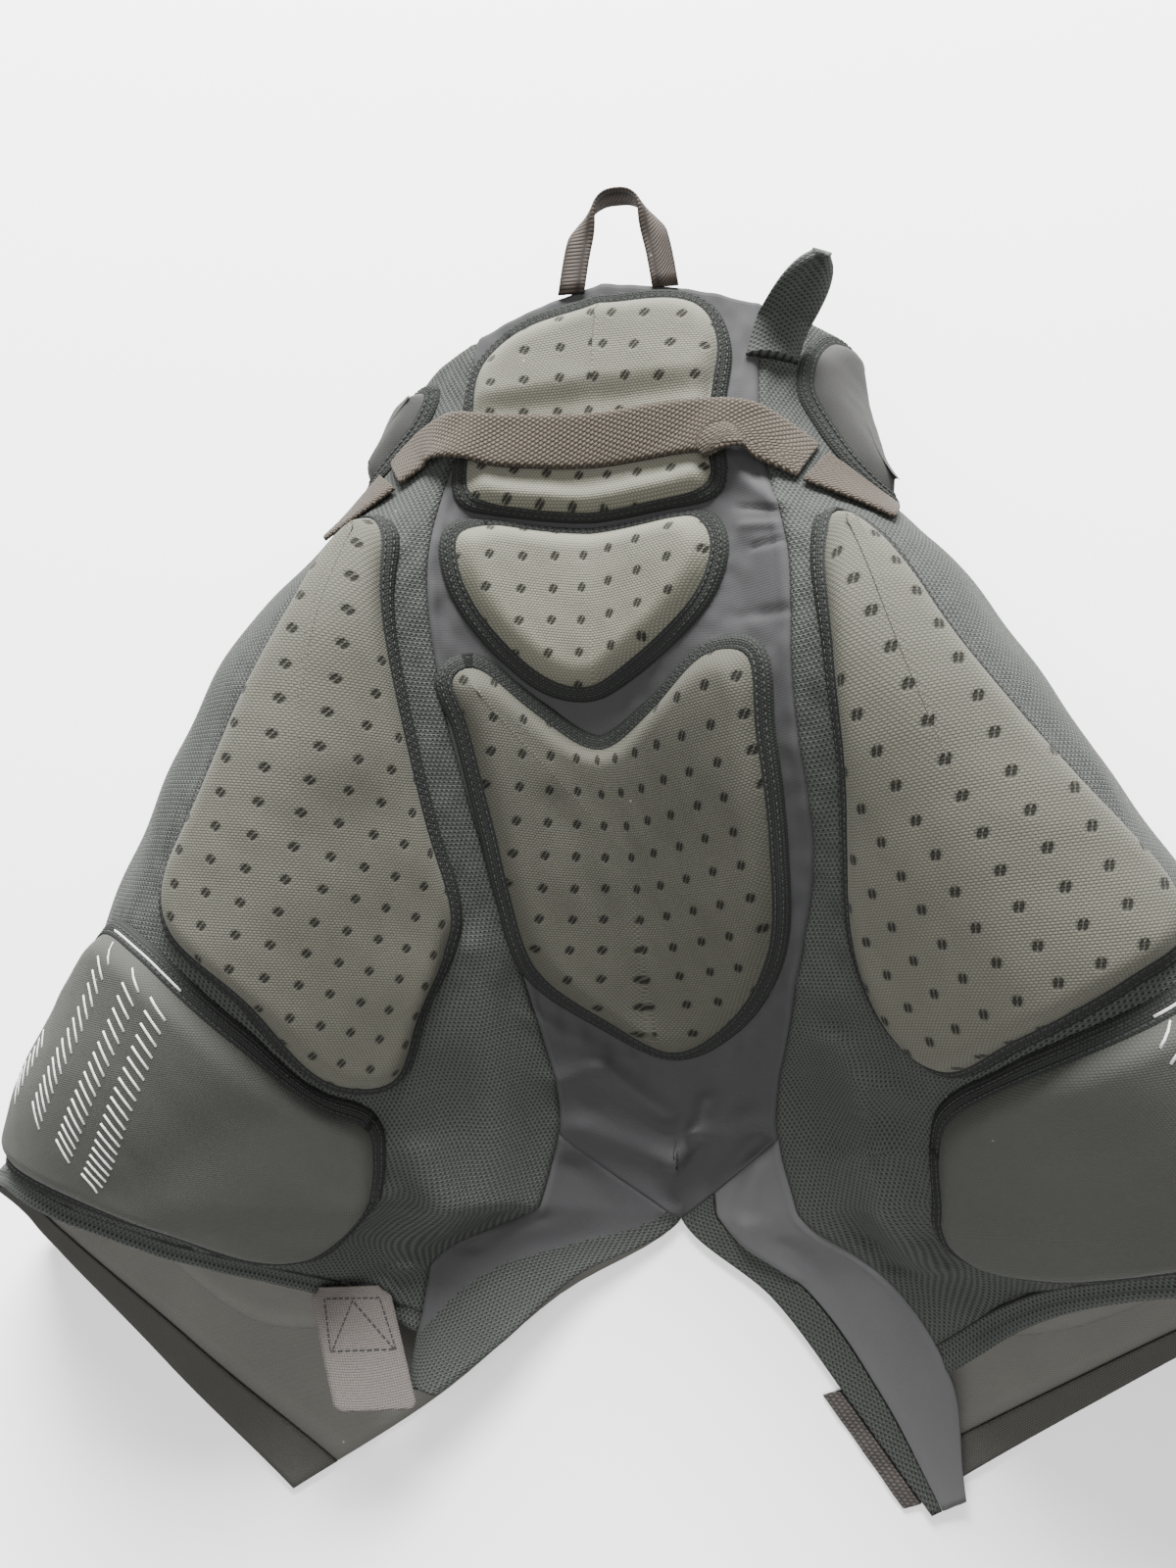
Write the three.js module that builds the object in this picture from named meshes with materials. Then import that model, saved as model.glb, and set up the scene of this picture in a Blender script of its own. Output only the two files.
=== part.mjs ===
// A padded hip girdle for skating, lying on its front with the back side up.
// Millimetres, +Z up, +Y towards the waist, +X to the wearer's right.
// The garment is two half tubes, left and right. Each has a place across it, u, from 0 at the inner
// edge of the back over the hip to 4 at the outer side and on under the front to 8 at its inner edge,
// and a place down it, v, from 0 at the waist to 8 at the crotch and 11 at the leg opening.
import * as THREE from 'three';

// Driving dimensions
const bodyLength = 429; // waist edge to crotch, as it lies
const legLength = 127; // crotch to the longest point of a leg
const hipHalfWidth = 290; // centre line to the outer side at the top of the legs
const hipHeight = 164; // floor to the highest part of the hips
const clothThickness = 1.6;
const hemThickness = 2.6;
const hemWidthShare = 0.3; // of one row down the leg
const seamGap = 0.6; // between two cloth pieces that meet at a seam
const padGap = 1.2; // from the cloth up to what is sewn on it
const flangeWidth = 6; // the flat sewn edge round a pad
const flangeThickness = 2.2;
const bulge = 0.8; // how far a pad's rounded outline may stand out from its straight sides
const bevelWidth = 7; // from the flange up to the full thickness
const tailPadThickness = 11;
const hipPadThickness = 12;
const thighPadThickness = 9;
const frontPadThickness = 8;
const sidePadThickness = 8;
const webbingWidth = 25;
const webbingThickness = 1.8;
const loopWidth = 12;
const loopThickness = 1.4;
const loopReach = 43; // how far the hanging loop stands out past the waist
const loopSpread = 43; // between the two ends of the loop
const tabWidth = 38;
const tabLength = 56;
const tabThickness = 2;
const flapWidth = 24;
const flapLength = 57;
const flapThickness = 5;
const zipWidth = 9;
const zipThickness = 1.8;
const foldHeight = 7; // the tallest soft folds in the cloth

const seatGap = 0.5; // between flat pieces that lie one on the other
const loopFoot = 3; // how far the loop's ends reach back over the waist edge
const loopRise = 3; // how much higher the loop's top lies than its ends
const loopOffset = 8; // sideways from the middle line to the loop's middle
const tabFootLift = 4.7; // from the cloth up to the tab's sewn end
const tabHangLift = 11.2; // the same one row further down, where the tab hangs free
const zipWave = 0.8; // how far the zip tape lifts off the floor
const layerStack = 2 * clothThickness + seamGap; // two cloths lying one on the other

// The named lines across a half tube: how far across they lie, as a share of inner to outer
const acrossLines = [0, 0.3, 0.6, 0.86, 1, 0.97, 0.86, 0.45, 0];
const sideDrop = 0.42; // height of the line below the outer side, as a share of the outer side's
const wanderFade = 0.6; // how much of the middle line's wander is gone at the outer side
const lastRow = 11;
const onMiddleLine = 0.0001; // the place across that stands for the middle line on its own side

// Columns: down-the-body places are shares of bodyLength above the crotch and of legLength below
// it, widths are shares of hipHalfWidth, heights are shares of hipHeight.
const stationColumns = ['inX', 'inY', 'inZ', 'z1', 'z2', 'z3', 'outX', 'outY', 'outZ', 'frontX', 'frontY'];
const rightStations = table(stationColumns, [
  [0, 1.0, 0.75, 0.76, 0.71, 0.59, 0.41, 0.95, 0.43, 0, 0.96],
  [0, 0.87, 0.72, 0.75, 0.75, 0.65, 0.41, 0.86, 0.46, 0, 0.85],
  [0, 0.755, 0.7, 0.76, 0.83, 0.73, 0.45, 0.765, 0.49, 0, 0.75],
  [0, 0.655, 0.67, 0.78, 0.93, 0.82, 0.56, 0.675, 0.5, 0, 0.64],
  [0, 0.53, 0.6, 0.78, 0.99, 0.87, 0.66, 0.56, 0.5, 0, 0.52],
  [0, 0.385, 0.44, 0.68, 0.96, 0.87, 0.78, 0.41, 0.49, 0, 0.385],
  [0, 0.235, 0.24, 0.52, 0.88, 0.83, 0.9, 0.26, 0.46, 0, 0.235],
  [0, 0.11, 0.08, 0.35, 0.76, 0.76, 0.99, 0.16, 0.43, 0, 0.11],
  [0, 0, 0, 0.26, 0.63, 0.68, 1.06, 0.09, 0.39, 0, 0],
  [0.15, -0.28, 0, 0.23, 0.56, 0.63, 1.1, 0.04, 0.37, 0.15, -0.28],
  [0.27, -0.63, 0, 0.22, 0.51, 0.59, 1.13, 0, 0.34, 0.28, -0.59],
  [0.39, -1.0, 0, 0.2, 0.45, 0.54, 1.16, -0.12, 0.32, 0.41, -0.91],
]);
const leftStations = table(stationColumns, [
  [0, 1.0, 0.75, 0.76, 0.71, 0.58, 0.39, 0.91, 0.4, 0, 0.96],
  [0, 0.87, 0.72, 0.74, 0.74, 0.65, 0.4, 0.84, 0.45, 0, 0.85],
  [0, 0.755, 0.7, 0.75, 0.82, 0.72, 0.46, 0.765, 0.49, 0, 0.75],
  [0, 0.655, 0.67, 0.76, 0.9, 0.79, 0.58, 0.675, 0.5, 0, 0.64],
  [0, 0.53, 0.6, 0.73, 0.92, 0.81, 0.7, 0.56, 0.5, 0, 0.52],
  [0, 0.385, 0.44, 0.61, 0.86, 0.77, 0.82, 0.41, 0.49, 0, 0.385],
  [0, 0.235, 0.24, 0.45, 0.76, 0.71, 0.92, 0.26, 0.46, 0, 0.235],
  [0, 0.11, 0.08, 0.3, 0.64, 0.65, 1.01, 0.16, 0.43, 0, 0.11],
  [0, 0, 0, 0.22, 0.54, 0.58, 1.06, 0.09, 0.39, 0, 0],
  [0.17, -0.2, 0.06, 0.2, 0.48, 0.54, 1.12, 0.04, 0.37, 0.21, -0.3],
  [0.29, -0.43, 0.11, 0.19, 0.43, 0.5, 1.17, 0, 0.34, 0.42, -0.69],
  [0.4, -0.62, 0.15, 0.17, 0.38, 0.45, 1.22, -0.12, 0.32, 0.67, -1.05],
]);

// How far the middle line wanders sideways, as a share of hipHalfWidth, at each row
const middleLine = [-0.02, -0.035, -0.04, -0.04, -0.035, 0.005, 0.03, 0.055, 0.06, 0.06, 0.06, 0.06];

// Where the seam between the stretch cloth and the mesh runs, in places across, at each row
const seamColumns = ['left', 'right'];
const seamRows = table(seamColumns, [
  [1.8, 2.0],
  [1.76, 1.98],
  [1.68, 1.9],
  [1.42, 1.66],
  [1.1, 1.4],
  [0.88, 1.17],
  [0.68, 0.82],
  [0.6, 0.58],
  [0.7, 0.62],
  [0.76, 0.7],
  [0.52, 0.62],
  [0.2, 0.24],
]);

// Where the leg openings end, in places down the leg, from the inner seam round to the outer side
const hemLines = {
  backLeft: [10.2, 9.7, 9.1, 8.7, 9.2],
  backRight: [9.9, 9.2, 9.1, 9.1, 9.5],
  frontLeft: [9.2, 10, 10.6, 10.9, 11],
  frontRight: [9.7, 10.2, 10.5, 10.8, 11],
};
const crotchRow = 8;
const gussetSide = 0.3; // place across where the gusset seam's direction is taken
const crotchSeamRise = 0.8; // how much higher the gusset seam meets the mesh than the crotch
const floorLine = 6; // place across where the front layer comes down on the floor
const sideSeam = 4.4; // place across where the back layer meets the front layer

// Soft folds: from one place to another, height as a share of foldHeight, and width in places
const foldColumns = ['side', 'u0', 'v0', 'u1', 'v1', 'height', 'width'];
const folds = table(foldColumns, [
  [1, 0.98, 6.3, 1.06, 7.3, 0.7, 0.1],
  [1, 0.76, 6.6, 0.84, 8.7, -0.6, 0.1],
  [1, 1.0, 7.4, 1.02, 8.7, 0.8, 0.1],
  [-1, 0.95, 5.6, 0.9, 8.0, 0.7, 0.13],
  [-1, 1.25, 7.4, 0.85, 9.2, 0.9, 0.14],
  [-1, 0.75, 8.2, 1.05, 9.6, -0.5, 0.12],
  [1, 0.05, 7.35, 0.42, 7.0, 0.7, 0.14],
  [-1, 0.05, 7.35, 0.45, 7.1, 0.6, 0.14],
  [1, 1.5, 1.7, 1.8, 2.4, 0.4, 0.1],
]);

// A pad's section, as shares of its thickness and of its bevel
const padSection = { shoulderHeight: 0.65, shoulderInset: 0.3, crown: 0.06 };

// From the cloth up to the underside of the pads that bridge its curves, in millimetres
const padLifts = {
  tail_pad_upper: 1.5,
  hip_pad_left: 2.35,
  hip_pad_right: 2.15,
  thigh_pad_left: 2.1,
  thigh_pad_right: 2.45,
};

// Outlines of the pads: signed place across (left is negative) and place down
const padOutlines = {
  tail_pad_upper: [[-1.25, 0.25], [-1.62, 0.5], [-1.6, 1.2], [-1.42, 1.98], [-1.2, 2.06], [-0.6, 2.09],
    [0, 2.09], [0.6, 2.09], [1.2, 2.08], [1.34, 2.0], [1.42, 1.2], [1.48, 0.55], [1.24, 0.2], [0, 0.2]],
  tail_pad_middle: [[-1.15, 2.3], [-1.36, 2.44], [-1.24, 2.84], [-0.95, 3.24], [-0.42, 3.66],
    [-0.1, 3.72], [0.25, 3.6], [0.9, 3.18], [1.18, 2.66], [1.12, 2.36], [0.9, 2.3], [0.5, 2.29],
    [0, 2.29], [-0.6, 2.29]],
  tail_pad_lower: [[-0.95, 3.64], [-0.5, 3.92], [-0.05, 4.16], [0.45, 3.95], [0.95, 3.64],
    [1.22, 3.72], [1.12, 4.3], [0.98, 4.9], [0.8, 5.6], [0.45, 6.1], [0.08, 6.32], [-0.3, 6.06],
    [-0.66, 5.7], [-0.78, 5.2], [-0.85, 4.7], [-0.96, 4.1], [-1.1, 3.75]],
  hip_pad_left: [[-2.28, 2.4], [-1.98, 2.56], [-1.7, 3.24], [-1.4, 4.04], [-1.22, 4.82],
    [-1.1, 5.42], [-1.26, 6.0], [-1.42, 6.68], [-1.62, 6.68], [-2.04, 5.98], [-2.58, 5.5],
    [-2.66, 5.22], [-2.5, 4.56], [-2.34, 3.5], [-2.36, 2.75]],
  hip_pad_right: [[2.18, 2.7], [1.94, 3.05], [1.74, 3.86], [1.56, 4.5], [1.38, 5.05], [1.27, 5.6],
    [1.34, 6.2], [1.5, 6.46], [1.84, 6.2], [2.42, 5.85], [2.85, 5.62], [2.92, 5.36], [2.7, 4.8],
    [2.48, 4.0], [2.36, 3.0]],
  thigh_pad_left: [[-1.5, 7.1], [-1.67, 6.92], [-2.1, 6.28], [-2.75, 5.72], [-3.3, 5.6],
    [-3.62, 6.2], [-3.75, 7.2], [-3.6, 8.1], [-2.9, 8.36], [-2.1, 8.8], [-1.56, 9.22],
    [-1.38, 9.1], [-1.46, 8.2]],
  thigh_pad_right: [[1.37, 7.2], [1.46, 6.86], [1.8, 6.5], [2.5, 6.1], [3.1, 5.86], [3.5, 6.3],
    [3.7, 7.2], [3.55, 8.2], [2.9, 8.6], [2.1, 8.56], [1.5, 8.72], [1.27, 8.5], [1.32, 7.9]],
  side_pad_left: [[-2.5, 0.4], [-2.9, 0.2], [-3.4, 0.3], [-3.6, 0.8], [-3.5, 1.3], [-3.2, 1.45],
    [-2.85, 1.12], [-2.6, 0.8]],
  side_pad_right: [[2.72, 0.42], [2.95, 0.2], [3.4, 0.25], [3.65, 0.8], [3.6, 1.6], [3.35, 2.15],
    [3.05, 1.85], [2.78, 1.35], [2.62, 0.95]],
  front_thigh_pad_left: [[-6.6, 5.4], [-7.1, 5.7], [-7.55, 7.4], [-7.5, 9.6], [-7.1, 10.1],
    [-6.4, 9.7], [-6.25, 8.2], [-6.3, 6.2]],
  front_thigh_pad_right: [[6.6, 5.4], [7.1, 5.7], [7.55, 7.4], [7.5, 9.6], [7.1, 10.0],
    [6.4, 9.7], [6.25, 8.2], [6.3, 6.2]],
};

// The belt across the back: signed place across, place down, and its height over the cloth as a
// share of the upper tail pad's thickness
const beltColumns = ['s', 'v', 'lift'];
const beltRoute = table(beltColumns, [
  [-2.54, 1.6, 0],
  [-2.2, 1.36, 0.2],
  [-1.7, 1.38, 0.77],
  [-1.2, 1.42, 0.79],
  [0, 1.44, 0.8],
  [1.1, 1.46, 0.79],
  [1.6, 1.54, 0.75],
  [2.0, 1.68, 0.3],
  [2.35, 1.9, 0],
]);
const beltDent = { row: 1.44, halfWidth: 0.36, fade: 0.25, depth: 0.35 };
const sideBelts = {
  left: table(beltColumns, [[-2.62, 1.7, 0], [-2.86, 2.0, 0], [-3.1, 2.34, 0]]),
  right: table(beltColumns, [[2.41, 1.96, 0], [2.7, 2.2, 0], [3.0, 2.5, 0]]),
};

// Where the folded mesh ear is sewn on, how much of it is sewn down, and how it narrows to its tip
const flapPlace = { s: 2.13, v: 0.62, rise: 0.36, wander: 0.05, footShare: 0.4, tipNarrow: 0.12 };

// Where the hook tab is sewn on the left leg, and the place that it hangs towards
const tabPlace = { s: -1.08, v: 9.6, downS: -0.6, downV: 10.6, outS: -1.3, outV: 9.75, inS: -0.86, inV: 9.55 };
const zipStart = 9.9; // place down the right leg where the zip tape starts

// The loop's form: how full its sides and its top are, how much it narrows, where it stands on edge
const loopForm = { sideFullness: 0.55, topFullness: 0.7, narrowing: 0.3, standFrom: 0.5, standTurn: 0.45 };

// Colours and finishes
const finishes = {
  mesh: new THREE.MeshStandardMaterial({ color: 0x3c4340, roughness: 0.9, metalness: 0 }),
  stretch: new THREE.MeshStandardMaterial({ color: 0x37363b, roughness: 0.6, metalness: 0 }),
  perforated: new THREE.MeshStandardMaterial({ color: 0x6b6a60, roughness: 0.8, metalness: 0 }),
  smoothPad: new THREE.MeshStandardMaterial({ color: 0x3b3c3a, roughness: 0.75, metalness: 0 }),
  lining: new THREE.MeshStandardMaterial({ color: 0x4a4a47, roughness: 0.9, metalness: 0 }),
  webbing: new THREE.MeshStandardMaterial({ color: 0x5f564d, roughness: 0.75, metalness: 0 }),
  hook: new THREE.MeshStandardMaterial({ color: 0x57524f, roughness: 0.95, metalness: 0 }),
};

function table(columns, rows) {
  return rows.map((row) => Object.fromEntries(columns.map((name, i) => [name, row[i]])));
}

function smooth(a, b, c, d, t) {
  const straight = 2 * b + (c - a) * t;
  const bend = (2 * a - 5 * b + 4 * c - d) * t * t + (3 * b - a - 3 * c + d) * t * t * t;
  return 0.5 * (straight + bend);
}

// A smooth curve through evenly spaced values, read at place t
function through(values, t) {
  const last = values.length - 1;
  const i = Math.min(Math.max(Math.floor(t), 0), last - 1);
  const before = i > 0 ? values[i - 1] : 2 * values[0] - values[1];
  const after = i + 2 <= last ? values[i + 2] : 2 * values[last] - values[last - 1];
  return smooth(before, values[i], values[i + 1], after, t - i);
}

// The same across the body, level at the middle line so that the two halves meet smoothly
function throughAcross(values, u, mirror) {
  const i = Math.min(Math.floor(u), values.length - 2);
  const before = i > 0 ? values[i - 1] : mirror * values[1];
  const after = i + 2 < values.length ? values[i + 2] : mirror * values[values.length - 2];
  return smooth(before, values[i], values[i + 1], after, u - i);
}

const heightAlong = (share) => share * (share > 0 ? bodyLength : legLength);

// One station worked out at place v, in millimetres
function stationAt(side, v) {
  const rows = side > 0 ? rightStations : leftStations;
  const read = (name) => through(rows.map((row) => row[name]), v);
  const down = (name) => through(rows.map((row) => heightAlong(row[name])), v);
  return {
    middle: through(middleLine, v) * hipHalfWidth,
    inX: Math.max(read('inX'), 0) * hipHalfWidth,
    inY: down('inY'),
    outX: read('outX') * hipHalfWidth,
    outY: down('outY'),
    frontX: Math.max(read('frontX'), 0) * hipHalfWidth,
    frontY: down('frontY'),
    heights: [
      layerStack + Math.max(read('inZ'), 0) * (hipHeight - layerStack),
      read('z1') * hipHeight,
      read('z2') * hipHeight,
      read('z3') * hipHeight,
      read('outZ') * hipHeight,
      read('outZ') * hipHeight * sideDrop,
      0, 0, 0,
    ],
  };
}

function foldLift(side, u, v) {
  let lift = 0;
  for (const fold of folds) {
    if (fold.side === side) {
      const du = fold.u1 - fold.u0;
      const dv = fold.v1 - fold.v0;
      const along = ((u - fold.u0) * du + (v - fold.v0) * dv) / (du * du + dv * dv);
      const near = Math.min(Math.max(along, 0), 1);
      const off = Math.hypot(u - fold.u0 - near * du, v - fold.v0 - near * dv) / fold.width;
      lift += fold.height * foldHeight * Math.exp(-off * off);
    }
  }
  return lift;
}

// A point on the outer face of the garment
function skin(side, u, v) {
  const at = stationAt(side, v);
  const across = throughAcross(acrossLines, u, -1);
  const back = u <= 4;
  const startX = back ? at.inX : at.frontX;
  const startY = back ? at.inY : at.frontY;
  const z = throughAcross(at.heights, u, 1) + (back ? foldLift(side, u, v) : 0);
  return new THREE.Vector3(
    side * (startX + (at.outX - startX) * across) + at.middle * (1 - wanderFade * across),
    startY + (at.outY - startY) * across,
    Math.max(z, 0),
  );
}

// The same by signed place across, with the outward normal and the two tangents
function frameAt(s, v) {
  const side = s < 0 ? -1 : 1;
  const u = Math.abs(s);
  const step = 0.02;
  const point = skin(side, u, v);
  const uLow = Math.max(u - step, 0);
  const uHigh = Math.min(u + step, 8);
  const acrossTangent = skin(side, uHigh, v).sub(skin(side, uLow, v)).multiplyScalar(side / (uHigh - uLow));
  const vLow = Math.max(v - step, 0);
  const downTangent = skin(side, u, v + step).sub(skin(side, u, vLow)).divideScalar(v + step - vLow);
  const normal = new THREE.Vector3().crossVectors(downTangent, acrossTangent).normalize();
  return { point, normal, acrossTangent, downTangent };
}

function lifted(s, v, lift) {
  const at = frameAt(s, v);
  return at.point.addScaledVector(at.normal, lift);
}

// A closed mesh from points and faces, turned so that it faces out
function closedMesh(name, finish, points, faces) {
  let volume = 0;
  for (const [a, b, c] of faces) {
    volume += points[a].dot(new THREE.Vector3().crossVectors(points[b], points[c]));
  }
  const index = faces.flatMap(([a, b, c]) => (volume < 0 ? [a, c, b] : [a, b, c]));
  const geometry = new THREE.BufferGeometry();
  geometry.setAttribute('position', new THREE.Float32BufferAttribute(points.flatMap((p) => p.toArray()), 3));
  geometry.setIndex(index);
  geometry.computeVertexNormals();
  const mesh = new THREE.Mesh(geometry, finish);
  mesh.name = name;
  return mesh;
}

// A sheet with a thickness: pairAt(p, q) gives the two faces' points, p down and q across, 0 to 1
function sheet(name, finish, rows, columns, pairAt) {
  const tops = [];
  const bottoms = [];
  for (let i = 0; i <= rows; i += 1) {
    for (let j = 0; j <= columns; j += 1) {
      const [top, bottom] = pairAt(i / rows, j / columns);
      tops.push(top);
      bottoms.push(bottom);
    }
  }
  const wide = columns + 1;
  const under = tops.length;
  const faces = [];
  const quad = (a, b, c, d) => faces.push([a, b, c], [a, c, d]);
  for (let i = 0; i < rows; i += 1) {
    for (let j = 0; j < columns; j += 1) {
      const a = i * wide + j;
      quad(a, a + wide, a + wide + 1, a + 1);
      quad(under + a, under + a + 1, under + a + wide + 1, under + a + wide);
    }
  }
  const rim = [];
  for (let j = 0; j < columns; j += 1) rim.push(j);
  for (let i = 0; i < rows; i += 1) rim.push(i * wide + columns);
  for (let j = columns; j > 0; j -= 1) rim.push(rows * wide + j);
  for (let i = rows; i > 0; i -= 1) rim.push(i * wide);
  rim.forEach((a, k) => {
    const b = rim[(k + 1) % rim.length];
    quad(a, b, under + b, under + a);
  });
  return closedMesh(name, finish, [...tops, ...bottoms], faces);
}

// Cloth that follows the garment: placeAt(p, q) gives signed place across and place down
function cloth(name, finish, rows, columns, placeAt, thickness = clothThickness) {
  return sheet(name, finish, rows, columns, (p, q) => {
    const { point, normal } = frameAt(...placeAt(p, q));
    return [point, point.clone().addScaledVector(normal, -thickness)];
  });
}

// A place across moved sideways by millimetres
function movedAcross(side, u, v, distance) {
  return u + distance / frameAt(side * u, v).acrossTangent.length();
}

function movedDown(side, u, v, distance) {
  return v + distance / frameAt(side * Math.max(u, 0.01), v).downTangent.length();
}

const seamAt = (side, v) => through(seamRows.map((row) => (side > 0 ? row.right : row.left)), v);
const nameOf = (side) => (side > 0 ? 'right' : 'left');
const hemAt = (line, q) => through(line, q * (line.length - 1));

// The rows of the mesh and of the cloth beside it: even down to the gusset, then on to the hem
const bodyRows = 18;
const legRows = 5;
const tipRows = 3;
const gussetRow = crotchRow - crotchSeamRise;

// The band down the right leg's inner edge, as a share of the gusset, and the seam beside it
const bandWidthShare = 0.3;
const bandSeamShare = 0.02;

function rowPlace(k, start, hem) {
  if (k <= bodyRows) return (start * k) / bodyRows;
  if (k <= bodyRows + legRows) return start + ((hem - start) * (k - bodyRows)) / legRows;
  return hem + ((lastRow - hem) * (k - bodyRows - legRows)) / tipRows;
}

function backCentrePanel() {
  return cloth('back_centre_panel', finishes.stretch, bodyRows, 10, (p, q) => {
    const side = q < 0.5 ? -1 : 1;
    const out = Math.max(Math.abs(2 * q - 1), onMiddleLine);
    const end = crotchRow - crotchSeamRise * out;
    const v = p * (p < 1 ? end : movedDown(side, gussetSide, end, -seamGap / 2));
    return [side * out * movedAcross(side, seamAt(side, v), v, -seamGap / 2), v];
  });
}

function sidePanel(side) {
  const hem = side > 0 ? hemLines.backRight : hemLines.backLeft;
  const rows = bodyRows + legRows;
  return cloth(`side_panel_${nameOf(side)}`, finishes.mesh, rows, 11, (p, q) => {
    const v = rowPlace(Math.round(p * rows), gussetRow, hemAt(hem, q) - hemWidthShare);
    const inner = movedAcross(side, seamAt(side, v), v, seamGap / 2);
    const outer = movedAcross(side, sideSeam, v, -seamGap / 2);
    return [side * (inner + (outer - inner) * q), v];
  });
}

function backHem(side) {
  const hem = side > 0 ? hemLines.backRight : hemLines.backLeft;
  return cloth(`hem_back_${nameOf(side)}`, finishes.mesh, 1, 11, (p, q) => {
    const end = hemAt(hem, q);
    const start = movedDown(side, 2, end - hemWidthShare, 2 * seamGap);
    const v = start + (end - start) * p;
    const inner = movedAcross(side, seamAt(side, v), v, seamGap / 2);
    const outer = movedAcross(side, sideSeam, v, -seamGap / 2);
    return [side * (inner + (outer - inner) * q), v];
  }, hemThickness);
}

function gussetPlace(side, p, across) {
  const hem = side > 0 ? hemLines.backRight : hemLines.backLeft;
  const start = crotchRow - crotchSeamRise * across;
  const k = bodyRows + Math.round(p * (legRows + tipRows));
  const row = rowPlace(k, start, hemAt(hem, 0) - hemWidthShare);
  const v = p > 0 ? row : movedDown(side, gussetSide, row, seamGap);
  return [side * across * movedAcross(side, seamAt(side, v), v, -seamGap / 2), v];
}

function gusset(side) {
  const bandEdge = side > 0 ? bandWidthShare + bandSeamShare : onMiddleLine;
  return cloth(`gusset_${nameOf(side)}`, finishes.stretch, legRows + tipRows, 3, (p, q) => (
    gussetPlace(side, p, bandEdge + (1 - bandEdge) * q)));
}

function inseamBand() {
  return cloth('inseam_band_right', finishes.mesh, legRows + tipRows, 1, (p, q) => (
    gussetPlace(1, p, onMiddleLine + bandWidthShare * q)));
}

function frontPlace(side, hem, p, q, from, to) {
  const end = hemAt(hem, q);
  const v = from(end) + (to(end) - from(end)) * p;
  const outer = movedAcross(side, sideSeam, v, seamGap);
  const inner = movedAcross(side, 8, v, -seamGap / 2);
  const u = q < 0.5 ? outer + (floorLine - outer) * 2 * q : floorLine + (inner - floorLine) * (2 * q - 1);
  return [side * u, v];
}

function frontPanel(side) {
  const hem = side > 0 ? hemLines.frontRight : hemLines.frontLeft;
  const name = `front_panel_${nameOf(side)}`;
  return cloth(name, finishes.mesh, 13, 8, (p, q) => (
    frontPlace(side, hem, p, q, () => 0, (end) => end - hemWidthShare)));
}

const frontHemSeam = seamGap / (legLength / (lastRow - crotchRow)); // the seam gap in places down

function frontHem(side) {
  const hem = side > 0 ? hemLines.frontRight : hemLines.frontLeft;
  const name = `hem_front_${nameOf(side)}`;
  return cloth(name, finishes.mesh, 1, 8, (p, q) => (
    frontPlace(side, hem, p, q, (end) => end - hemWidthShare + frontHemSeam, (end) => end)), hemThickness);
}

// The place reached from another one by a vector along the surface
function movedBy(s, v, vector) {
  const { acrossTangent, downTangent } = frameAt(s, v);
  const aa = acrossTangent.dot(acrossTangent);
  const bb = downTangent.dot(downTangent);
  const ab = acrossTangent.dot(downTangent);
  const a = acrossTangent.dot(vector);
  const b = downTangent.dot(vector);
  const size = aa * bb - ab * ab;
  return [s + (a * bb - b * ab) / size, v + (b * aa - a * ab) / size];
}

// A pad's outline moved inward, by a distance in millimetres for each of its places
function inset(places, distances) {
  const points = places.map(([s, v]) => frameAt(s, v));
  return places.map(([s, v], i) => {
    const ahead = points[(i + 1) % points.length].point;
    const behind = points[(i + points.length - 1) % points.length].point;
    const along = ahead.clone().sub(behind).normalize();
    const inward = points[i].normal.clone().cross(along).normalize();
    return movedBy(s, v, inward.multiplyScalar(distances[i]));
  });
}

function signedArea(places) {
  return places.reduce((sum, [s, v], i) => {
    const [s2, v2] = places[(i + 1) % places.length];
    return sum + s * v2 - s2 * v;
  }, 0);
}

// The flange is narrower where another pad's outline is near
function flangeRoom(name, [s, v]) {
  const here = frameAt(s, v).point;
  let room = flangeWidth;
  for (const [other, outline] of Object.entries(padOutlines)) {
    if (other !== name) {
      outline.forEach((start, i) => {
        const end = outline[(i + 1) % outline.length];
        for (let t = 0; t < 1; t += 0.125) {
          const there = skin(
            start[0] < 0 ? -1 : 1,
            Math.abs(start[0] + (end[0] - start[0]) * t),
            start[1] + (end[1] - start[1]) * t,
          );
          room = Math.min(room, (here.distanceTo(there) - seamGap) / 2 - bulge);
        }
      });
    }
  }
  return Math.max(room, bulge);
}

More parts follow.
